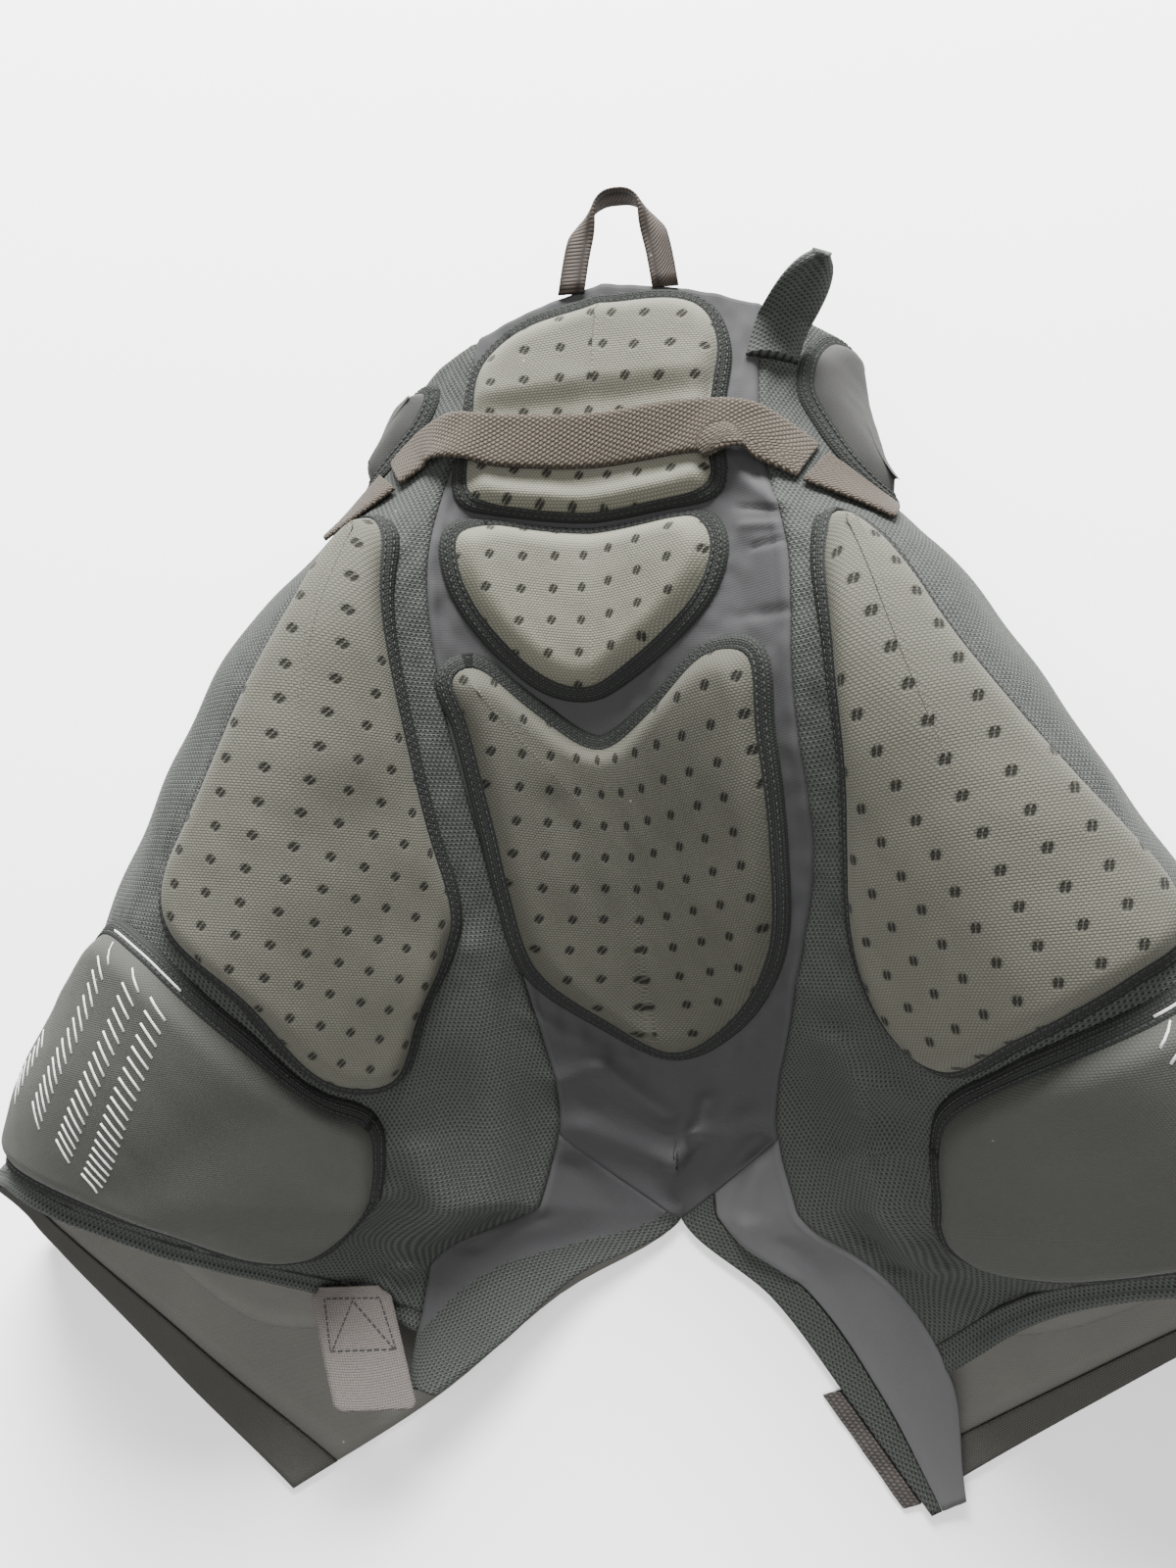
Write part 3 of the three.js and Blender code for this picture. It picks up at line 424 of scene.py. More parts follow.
def soft(points, size, height, seed):  # gentle unevenness: a few waves that cross each other
    draw = np.random.default_rng(seed)
    total = np.zeros(points.shape[:-1])
    for _ in range(6):
        direction = unit(draw.normal(size=3))
        wave = 2 * math.pi / (size * draw.uniform(0.7, 1.5))
        total = total + np.sin(points @ direction * wave + draw.uniform(0, 2 * math.pi))
    return total * height / 3


# Meshes

def addPiece(name, points, faces, uv, material, nodes=(), slot=None, dots=None):
    mesh = bpy.data.meshes.new(name)
    mesh.from_pydata(np.asarray(points).tolist(), [], faces)
    corners = np.zeros(len(mesh.loops), int)
    mesh.loops.foreach_get("vertex_index", corners)
    for label, flat in (("cloth", uv), ("dots", dots)):
        if flat is not None:
            layer = mesh.uv_layers.new(name=label)
            layer.data.foreach_set("uv", np.asarray(flat, float)[corners].ravel())
    mesh.polygons.foreach_set("use_smooth", [True] * len(mesh.polygons))
    mesh.materials.append(material)
    mesh.validate()
    piece = addObject(name, mesh)
    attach(piece, "root")
    if nodes:
        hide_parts(*nodes)
    return piece


def turnedOut(points, faces):  # faces turned so that a closed mesh faces out
    p = np.asarray(points)
    volume = 0.0
    for corners in (3, 4):
        chosen = np.array([face for face in faces if len(face) == corners], int)
        for k in range(1, corners - 1):
            if len(chosen):
                a, b, c = p[chosen[:, 0]], p[chosen[:, k]], p[chosen[:, k + 1]]
                volume += (a * np.cross(b, c)).sum()
    return [f[::-1] for f in faces] if volume < 0 else faces


def ringFaces(a, b, count):  # quads between two closed rings of points
    following = [(i + 1) % count for i in range(count)]
    return [(a + i, a + j, b + j, b + i) for i, j in enumerate(following)]


def gridFaces(rows, columns, start=0, flip=False):
    faces = []
    for i in range(rows - 1):
        for j in range(columns - 1):
            a = start + i * columns + j
            quad = (a, a + columns, a + columns + 1, a + 1)
            faces.append(quad[::-1] if flip else quad)
    return faces


def closedSheet(name, top, under, uv, material, inner=None, **ties):
    rows, columns = top.shape[:2]
    count = rows * columns
    faces = gridFaces(rows, columns) + gridFaces(rows, columns, count, True)
    rim = list(range(columns))
    rim += [i * columns + columns - 1 for i in range(1, rows)]
    rim += [(rows - 1) * columns + j for j in range(columns - 2, -1, -1)]
    rim += [i * columns for i in range(rows - 2, 0, -1)]
    for k, a in enumerate(rim):
        b = rim[(k + 1) % len(rim)]
        faces.append((a, b, b + count, a + count))
    points = np.concatenate([top.reshape(-1, 3), under.reshape(-1, 3)])
    corners = np.concatenate([uv.reshape(-1, 2)] * 2)
    piece = addPiece(name, points, turnedOut(points, faces), corners, material, **ties)
    if inner:
        piece.data.materials.append(inner)
        quads = (rows - 1) * (columns - 1)
        index = [int(quads <= i < 2 * quads) for i in range(len(faces))]
        piece.data.polygons.foreach_set("material_index", index)
    return piece


def runLength(points, axis):  # how far along a grid's rows or columns each point lies
    steps = np.linalg.norm(np.diff(points, axis=axis), axis=-1)
    return np.insert(np.cumsum(steps, axis), 0, 0, axis)


def clothSheet(name, rows, columns, placeAt, material, thickness, detail=None, **ties):
    p, q = shares(rows, columns)
    s, v = placeAt(p, q)
    point, normal, _, _ = frameAt(s, v)
    lift = detail(s, v, p, q, point) if detail else 0 * s
    top = point + normal * lift[..., None]
    under = top - normal * thickness
    uv = np.stack([runLength(point, 1), runLength(point, 0)], -1)
    return closedSheet(name, top, under, uv, material, **ties)


# Materials: small helpers, then the effects that several materials share, then one maker a finish

def joinTo(tree, socket, value):
    if isinstance(value, bpy.types.NodeSocket):
        tree.links.new(value, socket)
    else:
        socket.default_value = value


def nodeWith(tree, kind, **values):  # a new node with its inputs joined by name
    made = tree.nodes.new("ShaderNode" + kind)
    for label, value in values.items():
        joinTo(tree, made.inputs[label.replace("_", " ")], value)
    return made


def maths(tree, operation, *values):
    made = tree.nodes.new("ShaderNodeMath")
    made.operation = operation
    for socket, value in zip(made.inputs, values):
        joinTo(tree, socket, value)
    return made.outputs[0]


def times(tree, *values):
    return maths(tree, "MULTIPLY", *values)


def plus(tree, *values):
    return maths(tree, "ADD", *values)


def minus(tree, *values):
    return maths(tree, "SUBTRACT", *values)


def squared(tree, value):
    return maths(tree, "POWER", value, 2.0)


def dimmed(tree, mask, amount):  # 1 where the mask is 0, and lower by the amount where it is 1
    return minus(tree, 1.0, times(tree, mask, amount))


def within(tree, value, low, high):  # 1 below low, 0 above high and smooth between them
    made = nodeWith(tree, "MapRange", Value=value, From_Min=low, From_Max=high)
    made.interpolation_type = "SMOOTHSTEP"
    return minus(tree, 1.0, made.outputs[0])


def split(tree, vector):
    return nodeWith(tree, "SeparateXYZ", Vector=vector).outputs


def merged(tree, x, y):
    return nodeWith(tree, "CombineXYZ", X=x, Y=y).outputs[0]


def noise(tree, place, scale, detail, roughness=0.55):
    made = nodeWith(tree, "TexNoise", Vector=place, Scale=scale, Detail=detail, Roughness=roughness)
    return made.outputs["Fac"]


def tinted(tree, colour, factor):
    made = tree.nodes.new("ShaderNodeVectorMath")
    made.operation = "SCALE"
    joinTo(tree, made.inputs[0], colour)
    joinTo(tree, made.inputs["Scale"], factor)
    return made.outputs[0]


def mixed(tree, factor, first, second):
    made = tree.nodes.new("ShaderNodeMix")
    made.data_type = "RGBA"
    for socket, value in zip((made.inputs[0], made.inputs[6], made.inputs[7]), (factor, first, second)):
        joinTo(tree, socket, value)
    return made.outputs[2]


def uvOf(tree, label):
    made = tree.nodes.new("ShaderNodeUVMap")
    made.uv_map = label
    return made.outputs[0]


def newGroup(name, inputs, outputs):
    group = bpy.data.node_groups.new(name, "ShaderNodeTree")
    for label, value in inputs.items():
        kind = "NodeSocketVector" if value is None else "NodeSocketFloat"
        socket = group.interface.new_socket(label, in_out="INPUT", socket_type=kind)
        if value is not None:
            socket.default_value = value
    for label in outputs:
        group.interface.new_socket(label, in_out="OUTPUT", socket_type="NodeSocketFloat")
    return group, group.nodes.new("NodeGroupInput").outputs, group.nodes.new("NodeGroupOutput").inputs


def brickPlace(group, given, brick):  # threads or holes counted across and down, every other row moved
    place = split(group, given["Place"])
    down = times(group, place[1], given["Down"])
    odd = maths(group, "MODULO", maths(group, "ABSOLUTE", maths(group, "FLOOR", down)), 2.0)
    moved = times(group, times(group, odd, brick), 0.5)
    return plus(group, times(group, place[0], given["Across"]), moved), down


def fromMiddle(group, value):  # -0.5 to 0.5 over each thread or hole
    return minus(group, maths(group, "FRACT", value), 0.5)


def makeWeave():  # raised threads in rows: Brick moves every other row by half a thread
    inputs = {"Place": None, "Across": 700.0, "Down": 700.0, "Brick": 1.0}
    group, given, out = newGroup("weave", inputs, ["Thread"])
    threads = brickPlace(group, given, given["Brick"])
    humps = [dimmed(group, squared(group, fromMiddle(group, value)), 4.0) for value in threads]
    joinTo(group, out["Thread"], times(group, *humps))
    return group


slitShape = {  # millimetres, and degrees for the turn
    "wander": 0.6, "turn": 28, "apart": 0.85, "halfWidth": 0.65, "halfLength": 1.9,
    "edgeFrom": 0.5, "edgeTo": 1.4, "ringFrom": 1.4, "ringTo": 2.8}


def makeSlits():  # at each whole place of the grid, two short slanted slits in a darker ring
    inputs = {"Grid": None, "Spacing Across": 14.0, "Spacing Down": 14.0}
    group, given, out = newGroup("slits", inputs, ["Slit", "Ring"])
    place = split(group, given["Grid"])
    whole = [maths(group, "ROUND", place[i]) for i in (0, 1)]
    cell = group.nodes.new("ShaderNodeTexWhiteNoise")
    cell.noise_dimensions = "2D"
    joinTo(group, cell.inputs["Vector"], merged(group, *whole))
    stray = split(group, cell.outputs["Color"])
    off = []
    for i, label in enumerate(("Spacing Across", "Spacing Down")):
        away = times(group, minus(group, place[i], whole[i]), given[label])
        off.append(plus(group, away, times(group, minus(group, stray[i], 0.5), slitShape["wander"])))
    turn = math.radians(slitShape["turn"])
    x = plus(group, times(group, off[0], math.cos(turn)), times(group, off[1], math.sin(turn)))
    y = minus(group, times(group, off[1], math.cos(turn)), times(group, off[0], math.sin(turn)))
    beside = minus(group, maths(group, "ABSOLUTE", x), slitShape["apart"])
    beside = maths(group, "DIVIDE", beside, slitShape["halfWidth"])
    along = maths(group, "DIVIDE", y, slitShape["halfLength"])
    reach = plus(group, squared(group, beside), squared(group, along))
    away = maths(group, "SQRT", plus(group, squared(group, x), squared(group, y)))
    joinTo(group, out["Slit"], within(group, reach, slitShape["edgeFrom"], slitShape["edgeTo"]))
    joinTo(group, out["Ring"], within(group, away, slitShape["ringFrom"], slitShape["ringTo"]))
    return group


holeShape = {"halfWidth": 0.36, "halfHeight": 0.3, "edgeFrom": 0.5, "edgeTo": 1.15}


def makeMeshHoles():  # a knitted mesh: rows of small oval holes with ribs between the rows
    inputs = {"Place": None, "Across": 480.0, "Down": 540.0}
    group, given, out = newGroup("meshHoles", inputs, ["Hole", "Rib"])
    x, y = [fromMiddle(group, value) for value in brickPlace(group, given, 1.0)]
    wide = squared(group, maths(group, "DIVIDE", x, holeShape["halfWidth"]))
    tall = squared(group, maths(group, "DIVIDE", y, holeShape["halfHeight"]))
    reach = maths(group, "SQRT", plus(group, wide, tall))
    joinTo(group, out["Hole"], within(group, reach, holeShape["edgeFrom"], holeShape["edgeTo"]))
    joinTo(group, out["Rib"], times(group, squared(group, y), 4.0))
    return group


wornShape = {  # fibres and specks of lint: how many a metre, and how large or rare the specks are
    "fibres": 900.0, "fibreShare": 0.3, "specks": 70.0,
    "speckFrom": 0.015, "speckTo": 0.05, "speckless": 0.84}


def makeHandled():  # what use leaves on cloth: uneven shade, pale lint and a fuzz of fibres
    inputs = {"Place": None, "Patch Size": 22.0}
    group, given, out = newGroup("handled", inputs, ["Shade", "Lint", "Fuzz"])
    broad = noise(group, given["Place"], given["Patch Size"], 4.0)
    fine = noise(group, given["Place"], wornShape["fibres"], 2.0, 0.7)
    share = wornShape["fibreShare"]
    joinTo(group, out["Shade"], plus(group, times(group, broad, 1 - share), times(group, fine, share)))
    specks = nodeWith(group, "TexVoronoi", Vector=given["Place"], Scale=wornShape["specks"])
    near = within(group, specks.outputs["Distance"], wornShape["speckFrom"], wornShape["speckTo"])
    rare = maths(group, "GREATER_THAN", split(group, specks.outputs["Color"])[0], wornShape["speckless"])
    joinTo(group, out["Lint"], times(group, near, rare))
    joinTo(group, out["Fuzz"], fine)
    return group


effects = {"weave": makeWeave(), "slits": makeSlits(), "meshHoles": makeMeshHoles(), "handled": makeHandled()}


def effect(tree, name, **values):
    made = tree.nodes.new("ShaderNodeGroup")
    made.node_tree = effects[name]
    for label, value in values.items():
        joinTo(tree, made.inputs[label], value)
    return made.outputs


def finishCloth(tree, light, worn, heights, look):  # colour and bumps into the shader
    shader = tree.nodes["Principled BSDF"]
    shade = minus(tree, worn["Shade"], 0.5)
    uneven = plus(tree, 1.0, times(tree, shade, look["uneven"]))
    body = tinted(tree, tinted(tree, look["colour"], light), uneven)
    paleLint = [min(1.0, part * 2.2 + 0.1) for part in look["colour"]]
    linted = mixed(tree, times(tree, worn["Lint"], 0.6), body, (*paleLint, 1))
    joinTo(tree, shader.inputs["Base Color"], linted)
    total = times(tree, worn["Fuzz"], look["fuzz"])
    for mask, height in heights:
        total = plus(tree, total, times(tree, mask, height))
    bump = nodeWith(tree, "Bump", Height=total, Distance=look["depth"], Strength=1.0)
    tree.links.new(bump.outputs[0], shader.inputs["Normal"])
    joinTo(tree, shader.inputs["Roughness"], plus(tree, look["rough"], times(tree, shade, 0.2)))
    shader.inputs["Specular IOR Level"].default_value = look["shine"]
    shader.inputs["Sheen Weight"].default_value = look["sheen"]
    shader.inputs["Sheen Roughness"].default_value = 0.5


def threadLight(tree, thread, look):
    return plus(tree, 1.0 - look["shade"], times(tree, thread, look["shade"]))


def threadOf(tree, place, look, brick=1.0):
    values = {"Place": place, "Across": look["across"], "Down": look["down"], "Brick": brick}
    return effect(tree, "weave", **values)["Thread"]


dotLook = {
    "ringShade": 0.36, "slitShade": 0.7, "threadHeight": 0.3, "ringHeight": -0.5, "slitHeight": -0.6}


def perforatedFabric(tree, place, worn, look):
    thread = threadOf(tree, place, look)
    dots = effect(tree, "slits", Grid=uvOf(tree, "dots"))
    light = times(tree, threadLight(tree, thread, look), dimmed(tree, dots["Ring"], dotLook["ringShade"]))
    light = times(tree, light, dimmed(tree, dots["Slit"], dotLook["slitShade"]))
    heights = [(thread, dotLook["threadHeight"]), (dots["Ring"], dotLook["ringHeight"]),
               (dots["Slit"], dotLook["slitHeight"])]
    finishCloth(tree, light, worn, heights, look)


def wovenFabric(tree, place, worn, look):
    thread = threadOf(tree, place, look, look["brick"])
    finishCloth(tree, threadLight(tree, thread, look), worn, [(thread, 0.5)], look)


def meshFabric(tree, place, worn, look):
    holes = effect(tree, "meshHoles", Place=place, Across=look["across"], Down=look["down"])
    light = times(tree, dimmed(tree, holes["Hole"], look["shade"]), dimmed(tree, holes["Rib"], 0.35))
    finishCloth(tree, light, worn, [(holes["Hole"], -0.6), (holes["Rib"], -0.6)], look)


def slantedWebbing(tree, place, worn, look):  # flat webbing whose threads run in diagonal lines
    at = split(tree, place)
    slanted = merged(tree, at[0], plus(tree, at[1], times(tree, at[0], 0.55)))
    thread = threadOf(tree, slanted, look)
    finishCloth(tree, threadLight(tree, thread, look), worn, [(thread, 0.8)], look)


lookColumns = [
    "maker", "colour", "across", "down", "shade", "uneven", "depth", "rough",
    "fuzz", "brick", "sheen", "shine"]
plainEnd = [0.15, 1.0, 0.02, 0.1]  # the last four columns of most cloths
flatEnd = [0.15, 0.0, 0.02, 0.1]
lycraEnd = [0.15, 0.0, 0.02, 0.06]
dotEnd = [0.12, 1.0, 0.02, 0.1]
lookRows = {  # across and down are threads or holes a metre, and depth is metres
    "perforated": [perforatedFabric, (0.15, 0.147, 0.117), 640, 900, 0.5, 0.25, 0.0006, 0.85, *dotEnd],
    # The next two rows are darker copies of the perforated cloth: painted shade for the pads that slope away
    # from the light, the second one deeper.
    "perforatedPaintedShade": [perforatedFabric, (0.1, 0.098, 0.079), 640, 900, 0.5, 0.25, 0.0006, 0.85, *dotEnd],
    "perforatedPaintedDeepShade": [perforatedFabric, (0.076, 0.0745, 0.06), 640, 900, 0.5, 0.25, 0.0006, 0.85, *dotEnd],
    "smoothPad": [wovenFabric, (0.05, 0.051, 0.0455), 900, 1100, 0.25, 0.3, 0.0003, 0.8, *plainEnd],
    "sidePad": [wovenFabric, (0.032, 0.032, 0.03), 1400, 1500, 0.15, 0.2, 0.0002, 0.75, *plainEnd],
    "lining": [wovenFabric, (0.125, 0.122, 0.11), 800, 1000, 0.3, 0.4, 0.0003, 0.9, *plainEnd],
    "liningEdge": [wovenFabric, (0.065, 0.064, 0.058), 800, 1000, 0.4, 0.5, 0.0004, 0.9, *plainEnd],
    "stretch": [wovenFabric, (0.044, 0.0435, 0.045), 1500, 900, 0.12, 0.3, 0.00012, 0.8, *lycraEnd],
    # A lighter copy of the stretch cloth: painted light for the right gusset, where the same cloth catches
    # the light.
    "stretchPaintedLight": [wovenFabric, (0.078, 0.077, 0.079), 1500, 900, 0.12, 0.35, 0.00012, 0.8, *lycraEnd],
    "mesh": [meshFabric, (0.05, 0.054, 0.049), 460, 520, 0.75, 0.3, 0.0006, 0.8, *plainEnd],
    "binding": [wovenFabric, (0.029, 0.031, 0.029), 700, 900, 0.45, 0.6, 0.0006, 1.0, 0.6, 1.0, 0.0, 0.03],
    "webbing": [slantedWebbing, (0.068, 0.056, 0.043), 400, 640, 0.65, 0.2, 0.0007, 0.7, 0.1, 1.0, 0.02, 0.1],
    "loopTape": [wovenFabric, (0.052, 0.041, 0.034), 560, 110, 0.75, 0.2, 0.0006, 0.7, *flatEnd],
    "hook": [wovenFabric, (0.13, 0.118, 0.109), 850, 850, 0.4, 0.3, 0.0005, 0.9, 0.5, 0.0, 0.02, 0.1],
    "zip": [wovenFabric, (0.07, 0.063, 0.058), 500, 420, 0.6, 0.8, 0.0008, 0.85, 0.6, 1.0, 0.02, 0.1],
    "thread": [wovenFabric, (0.05, 0.05, 0.05), 900, 3000, 0.5, 0.2, 0.0002, 0.6, *flatEnd],
    "paleThread": [wovenFabric, (0.62, 0.62, 0.6), 900, 1100, 0.2, 0.2, 0.0002, 0.7, *plainEnd],
}


def makeMaterial(name):
    look = dict(zip(lookColumns, lookRows[name]))
    material = bpy.data.materials.new(name + "Finish")
    material.use_nodes = True
    tree = material.node_tree
    place = tree.nodes.new("ShaderNodeTexCoord").outputs["Object"]
    look["maker"](tree, uvOf(tree, "cloth"), effect(tree, "handled", Place=place), look)
    return material


materials = {name: makeMaterial(name) for name in lookRows}
print("materials made")

# Pads: outlines in signed places across and places down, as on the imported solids

padOutlines = {
    "tail_pad_upper": [
        [-1.25, 0.25], [-1.62, 0.5], [-1.6, 1.2], [-1.42, 1.98], [-1.2, 2.06], [-0.6, 2.09], [0, 2.09],
        [0.6, 2.09], [1.2, 2.08], [1.34, 2.0], [1.42, 1.2], [1.48, 0.55], [1.24, 0.2], [0, 0.2]],
    "tail_pad_middle": [
        [-1.15, 2.3], [-1.36, 2.44], [-1.24, 2.84], [-0.95, 3.24], [-0.42, 3.66], [-0.1, 3.72], [0.25, 3.6],
        [0.9, 3.18], [1.18, 2.66], [1.12, 2.36], [0.9, 2.3], [0.5, 2.29], [0, 2.29], [-0.6, 2.29]],
    "tail_pad_lower": [
        [-0.95, 3.64], [-0.5, 3.92], [-0.05, 4.16], [0.45, 3.95], [0.95, 3.64], [1.22, 3.72], [1.12, 4.3],
        [0.98, 4.9], [0.8, 5.6], [0.45, 6.1], [0.08, 6.32], [-0.3, 6.06], [-0.66, 5.7], [-0.78, 5.2],
        [-0.85, 4.7], [-0.96, 4.1], [-1.1, 3.75]],
    "hip_pad_left": [
        [-2.28, 2.4], [-1.98, 2.56], [-1.7, 3.24], [-1.4, 4.04], [-1.22, 4.82], [-1.1, 5.42], [-1.26, 6.0],
        [-1.42, 6.68], [-1.62, 6.68], [-2.04, 5.98], [-2.58, 5.5], [-2.66, 5.22], [-2.5, 4.56],
        [-2.34, 3.5], [-2.36, 2.75]],
    "hip_pad_right": [
        [2.18, 2.7], [1.94, 3.05], [1.74, 3.86], [1.56, 4.5], [1.38, 5.05], [1.27, 5.6], [1.34, 6.2],
        [1.5, 6.46], [1.84, 6.2], [2.42, 5.85], [2.85, 5.62], [2.92, 5.36], [2.7, 4.8], [2.48, 4.0],
        [2.36, 3.0]],
    "thigh_pad_left": [
        [-1.5, 7.1], [-1.67, 6.92], [-2.1, 6.28], [-2.75, 5.72], [-3.3, 5.6], [-3.62, 6.2], [-3.75, 7.2],
        [-3.6, 8.1], [-2.9, 8.36], [-2.1, 8.8], [-1.56, 9.22], [-1.38, 9.1], [-1.46, 8.2]],
    "thigh_pad_right": [
        [1.37, 7.2], [1.46, 6.86], [1.8, 6.5], [2.5, 6.1], [3.1, 5.86], [3.5, 6.3], [3.7, 7.2], [3.55, 8.2],
        [2.9, 8.6], [2.1, 8.56], [1.5, 8.72], [1.27, 8.5], [1.32, 7.9]],
    "side_pad_left": [
        [-2.5, 0.4], [-2.9, 0.2], [-3.4, 0.3], [-3.6, 0.8], [-3.5, 1.3], [-3.2, 1.45], [-2.85, 1.12],
        [-2.6, 0.8]],
    "side_pad_right": [
        [2.72, 0.42], [2.95, 0.2], [3.4, 0.25], [3.65, 0.8], [3.6, 1.6], [3.35, 2.15], [3.05, 1.85],
        [2.78, 1.35], [2.62, 0.95]],
    "front_thigh_pad_left": [
        [-6.6, 5.4], [-7.1, 5.7], [-7.55, 7.4], [-7.5, 9.6], [-7.1, 10.1], [-6.4, 9.7], [-6.25, 8.2],
        [-6.3, 6.2]],
    "front_thigh_pad_right": [
        [6.6, 5.4], [7.1, 5.7], [7.55, 7.4], [7.5, 9.6], [7.1, 10.0], [6.4, 9.7], [6.25, 8.2], [6.3, 6.2]],
}
padForm = {
    "flangeWidth": 0.006,
    "leastFlange": 0.0012,
    "flangeInset": 0.0012,
    "flangeTop": 0.0009,
    "bevelSteps": (0.0003, 0.0009, 0.0018, 0.003, 0.0048, 0.007),
    "bulge": 0.0008,
    "bevelWidth": 0.0095,
    "roundness": 2.3,
    "crown": 0.06,
    "edgeShare": 0.22,  # how high the pad's edge stands at its seam, as a share of its thickness
    "outlinePoints": 176,
    "stepsToMiddle": 34,
    "underInset": 0.0013,
    "underLift": 0.0001,
    "underSteps": 8,
    "uneven": [(0.04, 0.00035, 7), (0.012, 0.00012, 8)],  # size and height of the waves, and their seed
    "liningThickness": 0.008,
    "liningGap": 0.0005,
    "fill": 0.8,
}
liningLift = -(garment["clothThickness"] + padForm["liningGap"])
liningRow = [padForm["liningThickness"], liningLift, "lining", "lining", None, None]
beltDent = {"row": 1.44, "halfWidth": 0.36, "fade": 0.25, "depth": 0.35}
padColumns = ["thickness", "lift", "finish", "slot", "acrossStep", "downStep"]
padRows = {  # metres; the steps lead from one slit dot to the next, along a row and down a column
    "tail_pad_upper": [0.011, 0.0015, "perforated", "perforated_fabric", (15, 0, 0), (-1.8, -14.7, 0)],
    "tail_pad_middle": [0.011, 0.0012, "perforated", "perforated_fabric", (15, 1, -3), (-1, -14, 0)],
    # The lower tail pad and the hip pads take the darker copies of the perforated cloth: painted shade on the
    # same fabric as the pads above.
    "tail_pad_lower": [0.011, 0.0012, "perforatedPaintedDeepShade", "perforated_fabric", (14, -1, 8), (1, -13.5, -6)],
    "hip_pad_left": [
        0.012, 0.00235, "perforatedPaintedShade", "perforated_fabric", (13.1, -4.1, -3.3), (-2.8, -13.7, 0)],
    "hip_pad_right": [
        0.012, 0.00215, "perforatedPaintedShade", "perforated_fabric", (13.8, 6.9, -1.3), (5.5, -13.8, 2)],
    "thigh_pad_left": [0.009, 0.0021, "smoothPad", "smooth_fabric", None, None],
    "thigh_pad_right": [0.009, 0.00245, "smoothPad", "smooth_fabric", None, None],
    "side_pad_left": [0.008, 0.0012, "sidePad", "smooth_fabric", None, None],
    "side_pad_right": [0.008, 0.0012, "sidePad", "smooth_fabric", None, None],
}
padDents = {  # shallow bends in the pads' own faces, in the columns of the folds
    "tail_pad_lower": [[-0.42, 4.55, -0.05, 5.9, -0.0012, 0.12], [0.5, 4.1, 0.2, 5.6, 0.0009, 0.2]],
    "hip_pad_left": [[-1.5, 4.7, -2.2, 5.3, -0.0005, 0.2], [-2.1, 3.2, -1.7, 4.4, 0.0008, 0.2]],
    "hip_pad_right": [[2.0, 4.9, 1.6, 5.9, -0.0004, 0.2], [2.3, 3.6, 2.5, 5.0, 0.0008, 0.2]],
    "thigh_pad_left": [[-2.0, 7.0, -2.6, 8.2, -0.0012, 0.22]],
    "thigh_pad_right": [[2.0, 7.0, 2.8, 8.0, -0.0012, 0.22]],
}


def closedCurve(corners):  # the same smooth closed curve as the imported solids', densely
    p = np.array(corners, float)
    count = len(p)
    t = np.linspace(0, 1, 24, endpoint=False)[:, None]
    parts = []
    for i in range(count):
        a, b, c, d = p[i - 1], p[i], p[(i + 1) % count], p[(i + 2) % count]
        t0, t1, t2 = [np.linalg.norm(q - o) ** 0.5 for o, q in ((a, b), (b, c), (c, d))]
        first = ((b - a) / t0 - (c - a) / (t0 + t1) + (c - b) / t1) * t1
        second = ((c - b) / t1 - (d - b) / (t1 + t2) + (d - c) / t2) * t1
        square = 3 * (c - b) - 2 * first - second
        cube = 2 * (b - c) + first + second
        parts.append(b + first * t + square * t * t + cube * t ** 3)
    return np.concatenate(parts)


def evenly(places, count):  # closed, spaced by real distance
    points = lifted(*places.T, 0)
    steps = np.linalg.norm(np.roll(points, -1, 0) - points, axis=1)
    run = np.insert(np.cumsum(steps), 0, 0)
    wanted = np.linspace(0, run[-1], count, endpoint=False)
    ring = np.vstack([places, places[:1]])
    return np.stack([np.interp(wanted, run, ring[:, k]) for k in (0, 1)], 1)


def inset(places, distance):  # an outline moved inward by a distance in metres
    point, normal, _, _ = frameAt(*places.T)
    along = unit(np.roll(point, -1, 0) - np.roll(point, 1, 0))
    inward = unit(np.cross(normal, along)) * np.broadcast_to(distance, len(places))[:, None]
    return np.stack(movedBy(*places.T, inward), 1)


def eased(ring, passes):  # an outline with its corners eased, so that moving it inward makes no loops
    for _ in range(passes):
        ring = ring / 2 + (np.roll(ring, 1, 0) + np.roll(ring, -1, 0)) / 4
    return ring


def footOf(name):
    foot = evenly(closedCurve(padOutlines[name]), padForm["outlinePoints"])
    s, v = foot.T
    area = (s * np.roll(v, -1) - np.roll(s, -1) * v).sum()
    return foot[::-1].copy() if area > 0 else foot


feet = {name: footOf(name) for name in padOutlines}
footPoints = {name: lifted(*foot.T, 0) for name, foot in feet.items()}


def flangeRoom(name):  # how wide the sewn edge is: narrower where another pad is near
    here = footPoints[name]
    others = np.concatenate([points for other, points in footPoints.items() if other != name])
    near = np.linalg.norm(here[:, None] - others[None], axis=2).min(1)
    bulge = padForm["bulge"]
    room = np.clip((near - garment["seamGap"]) / 2 - bulge, bulge, padForm["flangeWidth"])
    for _ in range(3):
        room = np.minimum(room, (np.roll(room, 1) + room + np.roll(room, -1)) / 3)
    return room


def tapeRoom(name):
    return np.maximum(flangeRoom(name), padForm["leastFlange"])


def flatPlaces(s, v, middle):  # places on the surface laid out flat, in metres from the middle
    total = np.zeros((*np.shape(s), 2))
    last = frameAt(np.full(np.shape(s), middle[0]), np.full(np.shape(s), middle[1]))[0]
    steps = 10
    for k in range(1, steps + 1):
        point, normal, across, _ = frameAt(
            middle[0] + (s - middle[0]) * k / steps, middle[1] + (v - middle[1]) * k / steps)
        first = unit(across)
        second = np.cross(normal, first)
        moved = point - last
        total += np.stack([(moved * first).sum(-1), (moved * second).sum(-1)], -1)
        last = point
    return total


